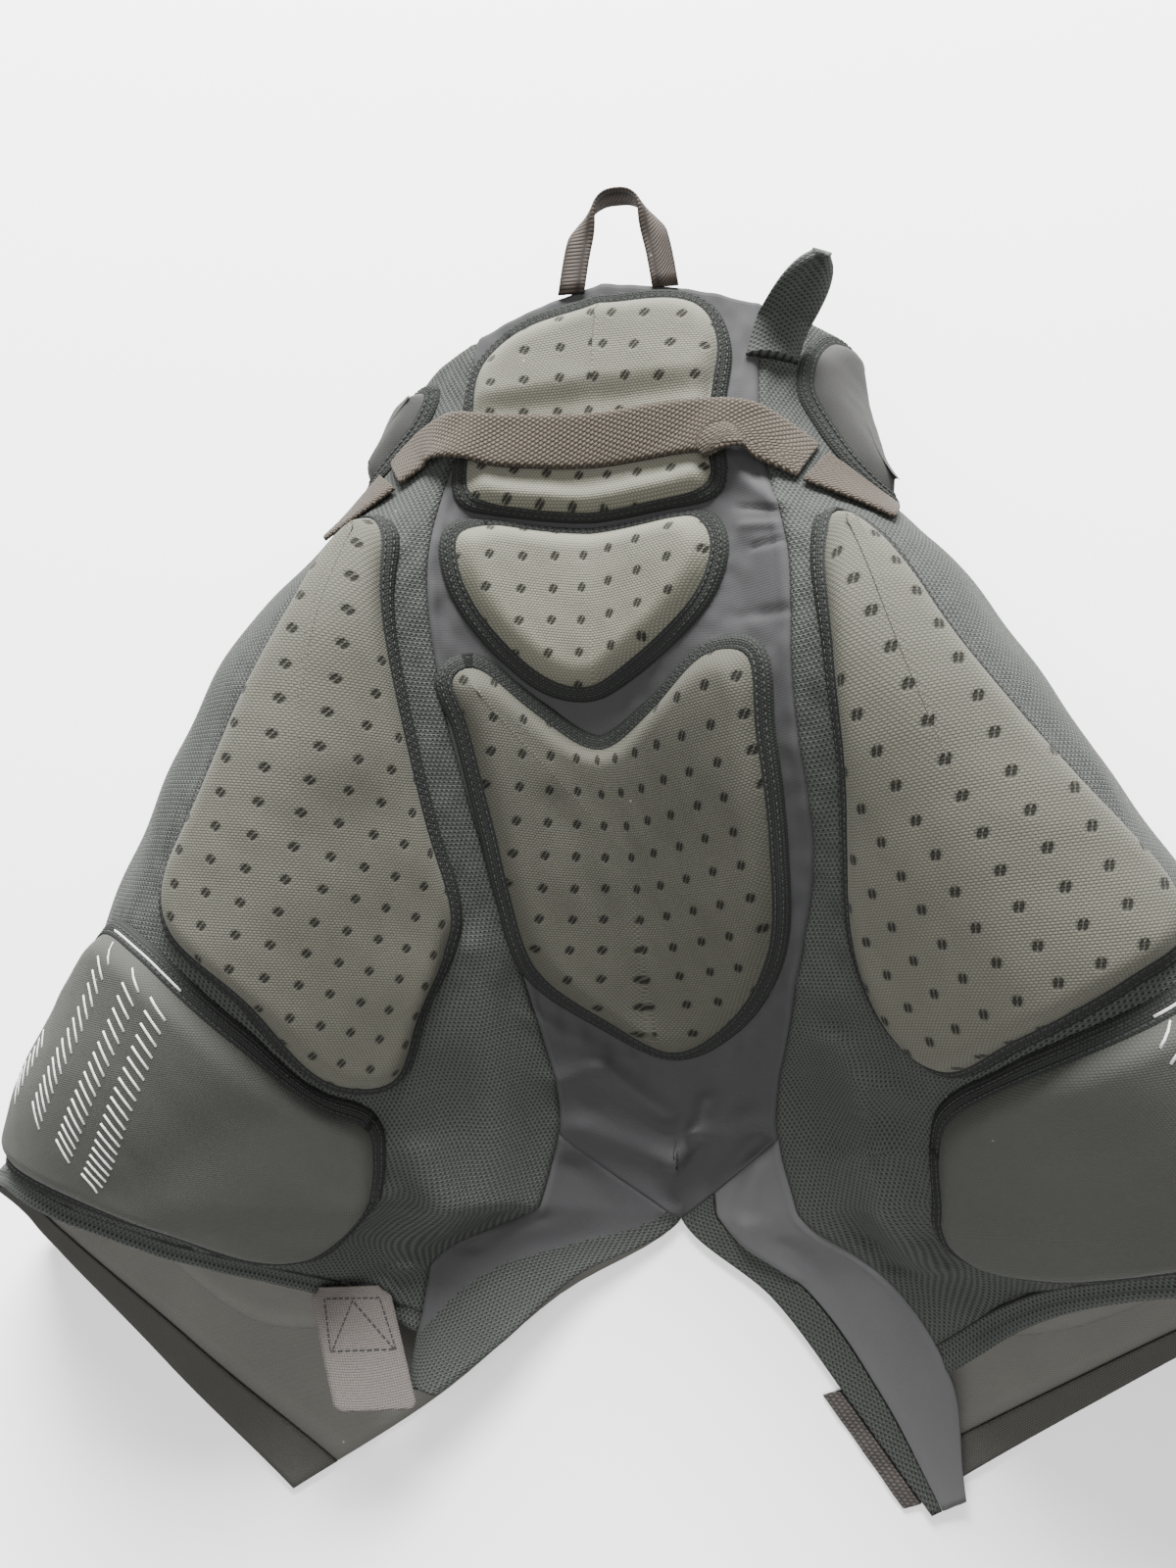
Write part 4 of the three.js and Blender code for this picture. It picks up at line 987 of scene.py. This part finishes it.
def dotGrid(flat, middle, acrossStep, downStep):
    _, normal, across, _ = frameAt(np.array([middle[0]]), np.array([middle[1]]))
    first = unit(across)[0]
    second = np.cross(normal[0], first)
    steps = [[np.dot(step, first), np.dot(step, second)] for step in (acrossStep, downStep)]
    return flat @ np.linalg.inv(np.array(steps) / 1000)  # the steps are in millimetres


def padHeight(name, v, height):
    if name != "tail_pad_upper":
        return height
    off = smoothStep(0, 1, (np.abs(v - beltDent["row"]) - beltDent["halfWidth"]) / beltDent["fade"])
    return height * (1 - beltDent["depth"] * (1 - off))


padSurfaces = {}


def makePad(name, inside=False):
    look = dict(zip(padColumns, padRows.get(name, liningRow)))
    foot = feet[name]
    count = len(foot)
    middle = foot.mean(0)
    turn = -1 if inside else 1
    thickness = look["thickness"]
    rings = [(inset(foot, padForm["flangeInset"]), padForm["flangeTop"])]
    bevel = padForm["bevelWidth"]
    ring, gone = foot, 0.0
    for distance in (*padForm["bevelSteps"], bevel):
        ring = eased(inset(ring, distance - gone), 2 if distance < 0.001 else 5)
        gone = distance
        share = 1 - (1 - distance / bevel) ** padForm["roundness"]
        rings.append((ring, thickness * (padForm["edgeShare"] + (1 - padForm["edgeShare"]) * share)))
    inner = rings[-1][0]
    steps = padForm["stepsToMiddle"]
    for k in range(1, steps):
        share = k / steps
        rings.append((inner + (middle - inner) * share, thickness * (1 + padForm["crown"] * share)))
    topPlaces = np.concatenate([ring for ring, _ in rings] + [middle[None]])
    s, v = topPlaces.T
    lift = np.append(np.repeat([height for _, height in rings], count), thickness * (1 + padForm["crown"]))
    flange = 2 * count
    lift[flange:] = padHeight(name, v[flange:], lift[flange:])
    fade = smoothStep(0.0004, thickness, lift)
    lift = lift + fade * foldLift(padDents.get(name, []), s, v)
    base = lifted(s, v, 0)
    for waves in padForm["uneven"]:
        lift = lift + fade * soft(base, *waves)
    topPoints = lifted(s, v, look["lift"] + turn * lift)
    under = [inset(foot, padForm["underInset"])]
    underSteps = padForm["underSteps"]
    for k in range(1, underSteps):
        under.append(under[0] + (middle - under[0]) * k / underSteps)
    underPlaces = np.concatenate(under + [middle[None]])
    underPoints = lifted(*underPlaces.T, look["lift"] + turn * padForm["underLift"])
    points = np.concatenate([topPoints, underPoints])
    first = len(topPoints)
    faces = []
    for k in range(len(rings) - 1):
        faces += ringFaces(k * count, (k + 1) * count, count)
    last = (len(rings) - 1) * count
    faces += [(last + i, last + (i + 1) % count, first - 1) for i in range(count)]
    for k in range(underSteps - 1):
        faces += ringFaces(first + (k + 1) * count, first + k * count, count)
    last = first + (underSteps - 1) * count
    faces += [(last + (i + 1) % count, last + i, len(points) - 1) for i in range(count)]
    faces += ringFaces(first, 0, count)
    flat = flatPlaces(*np.concatenate([topPlaces, underPlaces]).T, middle)
    dots = dotGrid(flat, middle, look["acrossStep"], look["downStep"]) if look["acrossStep"] else None
    faces = turnedOut(points, faces)
    finish = materials[look["finish"]]
    piece = addPiece(name + "_crown", points, faces, flat, finish, (name,), look["slot"], dots=dots)
    padSurfaces[name] = BVHTree.FromPolygons([Vector(p) for p in points], faces)
    if not inside:
        makeBinding(name, look)


bindingProfile = [  # from the pad's edge outward: shares of the flange's room, metres, shares of the edge
    [-0.2, 0.0004, 0.8], [-0.22, 0.0004, 1.0], [-0.1, 0.0009, 1.08], [0.06, 0.0009, 1.04],
    [0.18, 0.0002, 0.94], [0.32, 0.001, 0.78], [0.5, 0.0013, 0.56], [0.68, 0.0015, 0.32],
    [0.85, 0.0015, 0.1], [0.96, 0.001, 0], [1.0, 0.0005, 0], [0.97, 0.0002, 0], [0.5, 0.0002, 0],
]


bindingForm = {"uneven": (0.02, 0.0002, 21), "puffedFrom": 0.001}


def makeBinding(name, look):  # the dark sewn tape round a pad
    foot = feet[name]
    count = len(foot)
    room = tapeRoom(name)
    points, uv = [], []
    run = np.insert(np.cumsum(np.linalg.norm(np.diff(footPoints[name], axis=0), axis=1)), 0, 0)
    base = footPoints[name]
    edgeHeight = padHeight(name, foot[:, 1], look["lift"] + look["thickness"] * padForm["edgeShare"])
    for share, height, climb in bindingProfile:
        places = inset(foot, -room * share)
        puff = soft(base, *bindingForm["uneven"]) * (height > bindingForm["puffedFrom"])
        points.append(lifted(*places.T, height + climb * edgeHeight + puff))
        uv.append(np.stack([run, np.full(count, -share * padForm["flangeWidth"])], 1))
    rings = len(points)
    faces = []
    for k in range(rings):
        faces += ringFaces(k * count, ((k + 1) % rings) * count, count)
    points = np.concatenate(points)
    faces = turnedOut(points, faces)
    addPiece(name + "_binding", points, faces, np.concatenate(uv), materials["binding"], (), "mesh_cloth")
    padSurfaces[name + "_binding"] = BVHTree.FromPolygons([Vector(p) for p in points], faces)


# Cloth panels

def padNearness(s, v, point):  # metres to the nearest pad's edge, and zero inside it
    near = np.full(s.shape, 1.0)
    for name, foot in feet.items():
        if name.startswith("front"):
            continue
        edge = inset(foot, -flangeRoom(name))[::4]
        low, high = edge.min(0) - 0.8, edge.max(0) + 0.8
        zone = (s > low[0]) & (s < high[0]) & (v > low[1]) & (v < high[1])
        if not zone.any():
            continue
        x, y = s[zone], v[zone]
        inside = np.zeros(x.shape, bool)
        for a, b in zip(edge, np.roll(edge, -1, 0)):
            crosses = (a[1] > y) != (b[1] > y)
            inside ^= crosses & (x < (b[0] - a[0]) * (y - a[1]) / (b[1] - a[1] + 1e-12) + a[0])
        rim = lifted(*edge.T, 0)
        distance = np.linalg.norm(point[zone][:, None] - rim[None], axis=2).min(1)
        near[zone] = np.minimum(near[zone], np.where(inside, 0, distance))
    return near


clothFolds = [  # creases in the cloth between the pads, in the columns of the folds
    [1.04, 6.86, 1.16, 6.64, 0.0022, 0.08],
    [1.16, 6.64, 1.3, 6.78, 0.002, 0.08],
    [1.02, 6.14, 0.88, 7.24, -0.0028, 0.112],
    [1.12, 6.98, 0.84, 8.42, -0.002, 0.08],
    [-1.56, 7.04, -1.28, 8.14, -0.002, 0.08],
    [-1.3, 6.84, -0.94, 9.2, 0.0024, 0.112],
    [-1.42, 7.68, -1.24, 8.46, -0.0016, 0.064],
    [-0.66, 8.88, -0.8, 8.22, -0.0018, 0.08],
    [-0.58, 6.6, -0.38, 6.44, 0.0016, 0.08],
    [-0.38, 6.44, -0.06, 6.9, 0.0022, 0.096],
    [0.24, 6.76, 0.16, 7.08, 0.0028, 0.08],
    [0.16, 7.08, 0, 7.32, 0.003, 0.08],
    [0, 7.32, -0.04, 7.94, 0.0028, 0.08],
    [0.1, 7.26, 0, 7.74, -0.0034, 0.08],
    [0.46, 7.22, 0.04, 8, -0.0022, 0.08],
    [-0.52, 7.52, -0.22, 8.34, -0.002, 0.096],
    [-0.66, 5.76, -0.38, 5.96, 0.0012, 0.064],
    [-0.38, 5.96, -0.14, 6.32, -0.0014, 0.064],
    [-0.7, 6.06, -0.2, 6.4, 0.0013, 0.064],
    [0.8, 5.82, 0.44, 6.18, 0.0014, 0.064],
    [0.44, 6.18, 0.16, 6.4, -0.0012, 0.064],
    [0.34, 8.08, 0.08, 8.68, 0.0018, 0.08],
    [0.46, 8.42, 0.14, 9.64, -0.0018, 0.08],
    [0.44, 7.44, 0.2, 8.76, 0.0016, 0.08],
    [1.48, 2.32, 1.74, 2.48, -0.0014, 0.03],
    [1.44, 2.82, 1.68, 2.84, -0.0014, 0.03],
    [1.16, 3.4, 1.52, 3.46, -0.0012, 0.04],
    [1.44, 2.56, 1.7, 2.66, 0.0012, 0.04],
    [-1.56, 2.42, -1.14, 3.82, 0.0008, 0.06],
]
clothForm = {
    "ruffles": (0.05, 0.0012, 31),  # size and height of the waves, and their seed
    "puckers": (0.012, 0.0005, 32),  # the small gathers beside a pad
    "puckerFrom": 0.007,
    "puckerWidth": 0.006,
    "freeFrom": 0.014,  # how far from a pad the folds reach their full height
    "gather": 1.1,  # how much deeper the folds are about the crotch
    "gatherRows": (5.2, 6.2),
    "gatherAcross": (0.6, 1.0),
    "ridge": 0.0005,
    "ridgeFrom": 0.003,
    "ridgeWidth": 0.0013,
    "edgeWidth": 0.001,
    "deepFrom": (0.004, 0.022),  # heights over the floor between which the folds grow to their full depth
}


def clothDetail(seamSides=(True, True)):
    form = clothForm

    def detail(s, v, p, q, point):
        near = padNearness(s, v, point)
        free = smoothStep(0.0, form["freeFrom"], near)
        inward = 1 - smoothStep(*form["gatherAcross"], np.abs(s))
        gathered = 1 + form["gather"] * smoothStep(*form["gatherRows"], v) * inward
        lift = free * gathered * foldLift(clothFolds, s, v)
        lift += free * soft(point, *form["ruffles"])
        pull = np.exp(-((near - form["puckerFrom"]) / form["puckerWidth"]) ** 2) * (near > 0)
        lift += pull * soft(point, *form["puckers"])
        run = runLength(point, 1)
        for apart, wanted in ((run, seamSides[0]), (run[:, -1:] - run, seamSides[1])):
            if wanted:
                ridge = np.exp(-((apart - form["ridgeFrom"]) / form["ridgeWidth"]) ** 2)
                lift += form["ridge"] * (ridge - np.exp(-(apart / form["edgeWidth"]) ** 2))
        deep = smoothStep(*form["deepFrom"], point[..., 2])
        return np.where(lift < 0, lift * deep, lift * (0.5 + 0.5 * deep))
    return detail


hemForm = {  # places are shares of the hem's width, from its seam to its edge
    "stitchLines": (0.22, 0.4), "lineWidth": 0.05, "lineDepth": 0.0007, "rollFrom": 0.45,
    "rollHeight": 0.0009, "fullness": 0.7, "uneven": (0.03, 0.0004), "flatBelow": 0.02}


def hemDetail(seed):
    def detail(s, v, p, q, point):
        lines = sum(np.exp(-((p - place) / hemForm["lineWidth"]) ** 2) for place in hemForm["stitchLines"])
        beyond = np.clip((p - hemForm["rollFrom"]) / (1 - hemForm["rollFrom"]), 0, 1)
        roll = hemForm["rollHeight"] * np.sin(np.pi * beyond) ** hemForm["fullness"]
        lift = roll - hemForm["lineDepth"] * lines + soft(point, *hemForm["uneven"], seed)
        return lift * smoothStep(0, hemForm["flatBelow"], point[..., 2])
    return detail


def addCloth(node, rows, columns, placeAt, finish, detail, inner=None, isMesh=None):
    thickness = garment["hemThickness" if node.startswith("hem") else "clothThickness"]
    clothSlot = "stretch_cloth" if finish.startswith("stretch") else "mesh_cloth"
    piece = clothSheet(node + "_cloth", rows, columns, placeAt, materials[finish], thickness, detail,
                       inner=inner, nodes=(node,), slot=clothSlot)
    if isMesh:  # part of the panel is cut from mesh
        down, across = [(np.arange(count - 1) + 0.5) / (count - 1) for count in (rows, columns)]
        chosen = isMesh(*np.meshgrid(down, across, indexing="ij")).ravel().astype(int)
        index = np.zeros(len(piece.data.polygons), int)
        index[:2 * len(chosen)] = np.tile(chosen, 2)
        piece.data.materials.append(materials["mesh"])
        piece.data.polygons.foreach_set("material_index", index.tolist())


def meshOnGusset(p, q):
    return q < np.interp(p, [0, 0.4, 0.75, 1], [0.1, 0.55, 1.01, 1.01])


def makeCloth():
    addCloth("back_centre_panel", 190, 111, centrePlace, "stretch", clothDetail())
    for side in (-1, 1):
        name = sideNames[side]
        right = side > 0
        addCloth(f"side_panel_{name}", 190, 120, sidePlace(side), "mesh", clothDetail((True, False)))
        addCloth(f"hem_back_{name}", 12, 130, backHemPlace(side), "mesh", hemDetail(50 + side))
        # The right gusset takes the lighter copy of the stretch cloth, which is painted light.
        addCloth(f"gusset_{name}", 70, 34, gussetPlace(side, 0.32 if right else nearMiddle, 1.0),
                 "stretchPaintedLight" if right else "stretch", clothDetail(),
                 isMesh=None if right else meshOnGusset)
        addCloth(f"front_panel_{name}", 70, 50, frontPlace(side, False), "mesh", None,
                 materials["lining"])
        addCloth(f"hem_front_{name}", 8, 90, frontPlace(side, True), "liningEdge", None)
    addCloth("inseam_band_right", 80, 10, gussetPlace(1, nearMiddle, 0.3), "mesh", None)


# Straps and small pieces

def stripPiece(name, top, under, material, nodes, slot):
    uv = np.stack([runLength(top, 0), runLength(top, 1)], -1)
    closedSheet(name, top, under, uv, material, nodes=nodes, slot=slot)


def rounded(q, depth):  # how far a strap's face falls away at its two edges
    return depth * np.clip(np.abs(2 * q - 1) * 6 - 5, 0, 1) ** 2


beltForm = {"width": 0.025, "thickness": 0.0018, "padThickness": 0.011, "worn": 0.0006, "wave": 0.0004}
beltRoutes = {  # signed place across, place down, height over the cloth as a share of the pad's thickness
    "belt_back": [
        [-2.54, 1.6, 0], [-2.2, 1.36, 0.2], [-1.7, 1.38, 0.77], [-1.2, 1.42, 0.79], [0, 1.44, 0.8],
        [1.1, 1.46, 0.79], [1.6, 1.54, 0.75], [2.0, 1.68, 0.3], [2.35, 1.9, 0]],
    "belt_side_left": [[-2.62, 1.7, 0], [-2.86, 2.0, 0], [-3.1, 2.34, 0]],
    "belt_side_right": [[2.41, 1.96, 0], [2.7, 2.2, 0], [3.0, 2.5, 0]],
}


def makeBelt(name, steps):
    route = np.array(beltRoutes[name], float)
    t, q = shares(steps, 15)
    s, row, lift = [through(route[:, k], t * (len(route) - 1)) for k in range(3)]
    middle, normal, _, down = frameAt(s, row)
    square = unit(np.cross(normal, np.gradient(middle, axis=0)))
    square = square * np.sign((square * down).sum(-1, keepdims=True))
    s, v = movedBy(s, row, square * ((q - 0.5) * beltForm["width"])[..., None])
    point, normal, _, _ = frameAt(s, np.maximum(v, 0))
    height = garment["padGap"] + lift * beltForm["padThickness"]
    wave = beltForm["wave"] * (np.sin(t * 9.0) * (2 * q - 1) + np.sin(t * 23.0 + q * 2))
    height = height + np.abs(wave) * (name == "belt_back")
    under = point + normal * height[..., None]
    top = under + normal * (beltForm["thickness"] - rounded(q, beltForm["worn"]))[..., None]
    stripPiece(name + "_strap", top, under, materials["webbing"], (name,), "webbing")


ribbonEdge = 0.35  # how much of its thickness a ribbon loses at its edges


def ribbonPiece(name, steps, columns, thickness, route, finish, slot):
    t, q = shares(steps, columns)
    middle, across, width = route(t)
    along = unit(route(np.minimum(t + 0.01, 1))[0] - route(np.maximum(t - 0.01, 0))[0])
    face = unit(np.cross(across, along))
    under = middle + across * ((q - 0.5) * width)[..., None]
    top = under + face * (thickness - rounded(q, thickness * ribbonEdge))[..., None]
    stripPiece(name + "_strap", top, under, materials[finish], (name,), slot)
    return top, face


loopForm = {
    "width": 0.012, "thickness": 0.0014, "reach": 0.045, "spread": 0.043, "foot": 0.0052, "rise": 0.003,
    "offset": 0.008, "sideFullness": 0.55, "topFullness": 0.7, "narrowing": 0.3, "standFrom": 0.5,
    "standTurn": 0.45}


def loopRoute(t):
    start = lifted(np.array([0.0]), np.array([0.0]), 0)[0]
    turn = np.pi * t
    rise = np.maximum(np.sin(turn), 0) ** loopForm["sideFullness"]
    spread = np.sign(np.cos(turn)) * np.abs(np.cos(turn)) ** loopForm["topFullness"]
    stand = smoothStep(loopForm["standFrom"], 1, rise) * np.pi * loopForm["standTurn"]
    outward = np.where(t <= 0.5, 1, -1)
    halfSpread = loopForm["spread"] / 2 * (1 - loopForm["narrowing"] * rise)
    middle = np.stack([
        start[0] + loopForm["offset"] - spread * halfSpread,
        start[1] - loopForm["foot"] + rise * loopForm["reach"],
        start[2] + garment["padGap"] + loopForm["rise"] * rise], -1)
    across = np.stack([np.cos(stand) * outward, 0 * t, np.sin(stand)], -1)
    return middle, across, loopForm["width"]


tabForm = {
    "width": 0.038, "length": 0.056, "thickness": 0.002, "footLift": 0.0047, "hangLift": 0.0112,
    "s": -1.08, "v": 9.6, "downS": -0.6, "downV": 10.6,
    "outS": -1.3, "outV": 9.75, "inS": -0.86, "inV": 9.55,
    "footNarrow": 0.26, "footTo": 0.1, "endNarrow": 0.1, "endFrom": 0.95}


def pointAt(s, v, lift):
    return lifted(np.array([float(s)]), np.array([float(v)]), lift)[0]


def tabRoute(t):
    top = pointAt(tabForm["s"], tabForm["v"], tabForm["footLift"])
    down = unit(pointAt(tabForm["downS"], tabForm["downV"], tabForm["hangLift"]) - top)
    outer = pointAt(tabForm["outS"], tabForm["outV"], garment["padGap"])
    across = unit(outer - pointAt(tabForm["inS"], tabForm["inV"], garment["padGap"]))
    middle = top + down * (t * tabForm["length"])[..., None]
    foot = tabForm["footNarrow"] * (1 - smoothStep(0, tabForm["footTo"], t))
    end = tabForm["endNarrow"] * smoothStep(tabForm["endFrom"], 1, t)
    return middle, across + 0 * middle, tabForm["width"] * (1 - foot - end)


zipForm = {"width": 0.009, "thickness": 0.0018, "start": 9.9, "wave": 0.0008, "across": (-0.95, -0.3, 0)}


def zipRoute(t):
    edge = skin(np.zeros(t.shape), zipForm["start"] + t) + shift
    wave = zipForm["wave"] * np.sin(3 * np.pi * t) ** 2
    beside = edge[..., 0] - zipForm["width"] / 2 - gap
    middle = np.stack([beside, edge[..., 1] - zipForm["thickness"], wave], -1)
    return middle, unit(np.array(zipForm["across"])) + 0 * middle, zipForm["width"]


earForm = {
    "width": 0.024, "length": 0.057, "thickness": 0.005, "s": 2.13, "v": 0.62, "rise": 0.36,
    "wander": 0.05, "footShare": 0.4, "tipNarrow": 0.12, "lean": (0.48, 0.5, 0.72),
    "edgeThin": 0.75, "crease": 0.0012, "creaseAt": 0.45, "creaseWidth": 0.12}


def makeEar():  # the folded mesh ear over the right side pad
    form = earForm
    t, q = shares(60, 25)
    lean = unit(np.array(form["lean"]))
    low = np.minimum(t / form["footShare"], 1)
    beyond = np.maximum(t - form["footShare"], 0) / (1 - form["footShare"])
    narrow = np.sqrt(np.maximum(1 - beyond ** 3, form["tipNarrow"]))
    s = form["s"] + form["wander"] * low
    v = form["v"] - form["rise"] * low
    sideways = (q - 0.5) * form["width"] * narrow / np.linalg.norm(frameAt(s, v)[2], axis=-1)
    point, normal, across, _ = frameAt(s + sideways, v)
    tipFace = unit(np.cross(across, lean))
    face = unit(normal * (1 - beyond)[..., None] + tipFace * beyond[..., None])
    under = point + normal * (garment["padGap"] + form["thickness"] * low * low)[..., None]
    under = under + lean * (beyond * form["length"] * (1 - form["footShare"]))[..., None]
    plump = form["thickness"] * (1 - form["edgeThin"] * np.abs(2 * q - 1) ** 3)
    plump = plump - form["crease"] * np.exp(-((q - form["creaseAt"]) / form["creaseWidth"]) ** 2) * low
    top = under + face * plump[..., None]
    stripPiece("side_flap_right_ear", top, under, materials["mesh"], ("side_flap_right",), "mesh_cloth")


# Stitches and printed dashes: short ribbons laid on what is already made

ribbonForm = {"clearance": 0.00005, "topShare": 0.7, "dropFrom": 0.03}


def addRibbons(name, lines, normals, width, thickness, finish, slot):
    count, steps = lines.shape[:2]
    along = unit(np.gradient(lines, axis=1))
    side = unit(np.cross(normals, along)) * width / 2
    low = lines + normals * ribbonForm["clearance"]
    high = low + normals * thickness
    narrow = side * ribbonForm["topShare"]
    ring = np.stack([low - side, low + side, high + narrow, high - narrow], 2)
    faces = []
    for i in range(count):
        for j in range(steps - 1):
            a = (i * steps + j) * 4
            faces += [(a + c, a + (c + 1) % 4, a + 4 + (c + 1) % 4, a + 4 + c) for c in range(4)]
        first, last = i * steps * 4, (i * steps + steps - 1) * 4
        faces += [(first + 3, first + 2, first + 1, first), (last, last + 1, last + 2, last + 3)]
    points = ring.reshape(-1, 3)
    addPiece(name, points, turnedOut(points, faces), points[:, :2], materials[finish], (), slot)


def dropped(surface, points, normals):  # the points moved down onto a piece; None where they miss it
    found = []
    reach = ribbonForm["dropFrom"]
    for point, normal in zip(points, normals):
        place = surface.ray_cast(Vector(point + normal * reach), Vector(-normal), 2 * reach)[0]
        if place is None:
            return None
        found.append(tuple(place))
    return np.array(found)


stitchForm = {"length": 0.0021, "spacing": 0.0031, "tabSteps": 27}
stitchRows = {"inner": 0.12, "outer": 0.62}  # shares of the binding's room
bindingStitch = {"width": 0.0005, "thickness": 0.00028, "finish": "thread", "slot": "mesh_cloth"}
tabStitch = {"width": 0.0007, "thickness": 0.00028, "finish": "thread", "slot": "hook_tape"}
dash = {"width": 0.0012, "thickness": 0.00018, "finish": "paleThread", "slot": "smooth_fabric"}
dashForm = {  # in places across and down; the arc is the pale cord along the pad's upper edge
    "perPlace": 10, "across": 0.058, "down": 0.07, "rightDrop": 0.34,
    "arcFrom": 2.4, "arcTo": 3.1, "arcAbove": 6.4, "arcShare": 0.3}
dashColumns = ["s0", "v0", "s1", "v1"]
dashRows = [  # rows of pale dashes on the thigh pads, and where the dashes point
    [2.44, 5.80, 2.70, 8.02],
    [2.64, 5.72, 2.90, 7.62],
    [2.94, 5.66, 3.16, 7.28],
    [3.38, 6.44, 3.50, 7.12],
]


def addStitches(name, surface, places):
    point, normal, _, _ = frameAt(*places.T)
    run = runLength(point, 0)
    lines, normals = [], []
    spacing = stitchForm["spacing"]
    for centre in np.arange(spacing, run[-1] - stitchForm["length"], spacing):
        wanted = centre + np.array([-0.5, 0, 0.5]) * stitchForm["length"]
        at, up = [np.stack([np.interp(wanted, run, a[:, k]) for k in range(3)], 1) for a in (point, normal)]
        hit = dropped(surface, at, unit(up))
        if hit is not None:
            lines.append(hit)
            normals.append(unit(up))
    if lines:
        addRibbons(name, np.array(lines), np.array(normals), **bindingStitch)


def stitchBindings():
    for name, foot in feet.items():
        if name.startswith("front"):
            continue
        for label, share in stitchRows.items():
            ring = inset(foot, -tapeRoom(name) * share)
            ring = np.vstack([ring, ring[:1]])
            addStitches(f"{name}_{label}_stitches", padSurfaces[name + "_binding"], ring)


def printDashes(side):
    name = "thigh_pad_" + sideNames[side]
    lines, normals = [], []
    drop = dashForm["rightDrop"] if side > 0 else 0.0
    for row in dashRows:
        place = dict(zip(dashColumns, row))
        count = round(dashForm["perPlace"] * (place["v1"] - place["v0"]))
        for t in (np.arange(count) + 0.5) / count:
            s = side * (place["s0"] + (place["s1"] - place["s0"]) * t)
            v = place["v0"] + (place["v1"] - place["v0"]) * t + drop
            half = np.array([-side * dashForm["across"], dashForm["down"] * (1 + t)])
            ends = np.linspace(-1, 1, 4)[:, None] * half
            point, normal, _, _ = frameAt(s + ends[:, 0], v + ends[:, 1])
            hit = dropped(padSurfaces[name], point, normal)
            if hit is not None:
                lines.append(hit)
                normals.append(normal)
    addRibbons(name + "_dashes", np.array(lines), np.array(normals), **dash)
    edge = inset(feet[name], -dashForm["arcShare"] * tapeRoom(name))
    u = np.abs(edge[:, 0])
    chosen = (u > dashForm["arcFrom"]) & (u < dashForm["arcTo"]) & (edge[:, 1] < dashForm["arcAbove"])
    edge = edge[chosen]
    point, normal, _, _ = frameAt(*edge.T)
    hit = dropped(padSurfaces[name + "_binding"], point, normal)
    if hit is not None:
        addRibbons(name + "_arc", hit[None], normal[None], **dash)


def acrossGrid(grid, corners, spacing):  # points along a bent line, in shares of a grid's rows and columns
    rows, columns = grid.shape[:2]
    points = []
    for (t0, q0), (t1, q1) in zip(corners, corners[1:]):
        for k in range(spacing):
            t = (t0 + (t1 - t0) * k / spacing) * (rows - 1)
            q = (q0 + (q1 - q0) * k / spacing) * (columns - 1)
            i, j = min(int(t), rows - 2), min(int(q), columns - 2)
            low = grid[i, j] * (1 - t + i) + grid[i + 1, j] * (t - i)
            high = grid[i, j + 1] * (1 - t + i) + grid[i + 1, j + 1] * (t - i)
            points.append(low * (1 - q + j) + high * (q - j))
    return np.array(points)


def sewOn(name, top, face, corners):  # a bent line of stitches across a strap
    chosen = np.arange(0, stitchForm["tabSteps"] * (len(corners) - 1) - 2, 3)[:, None] + np.arange(3)
    lines = acrossGrid(top, corners, stitchForm["tabSteps"])[chosen]
    normals = unit(acrossGrid(face, corners, stitchForm["tabSteps"]))[chosen]
    addRibbons(name, lines, normals, **tabStitch)


def makeStraps():
    makeBelt("belt_back", 170)
    makeBelt("belt_side_left", 40)
    makeBelt("belt_side_right", 40)
    ribbonPiece("hang_loop", 120, 9, loopForm["thickness"], loopRoute, "loopTape", "loop_tape")
    tab = ribbonPiece("hook_tab_left", 60, 24, tabForm["thickness"], tabRoute, "hook", "hook_tape")
    box = [(0.1, 0.16), (0.1, 0.84), (0.52, 0.9), (0.52, 0.1), (0.1, 0.16)]
    sewOn("hook_tab_left_box", *tab, box)
    sewOn("hook_tab_left_triangle", *tab, [(0.52, 0.12), (0.12, 0.5), (0.52, 0.88)])
    ribbonPiece("leg_zip_right", 70, 9, zipForm["thickness"], zipRoute, "zip", "zip_tape")
    makeEar()


makeCloth()
print("cloth made")
for padName in padOutlines:
    makePad(padName, padName.startswith("front"))
print("pads made")
makeStraps()
print("straps made")
stitchBindings()
for thighSide in (-1, 1):
    printDashes(thighSide)
print("stitches made")
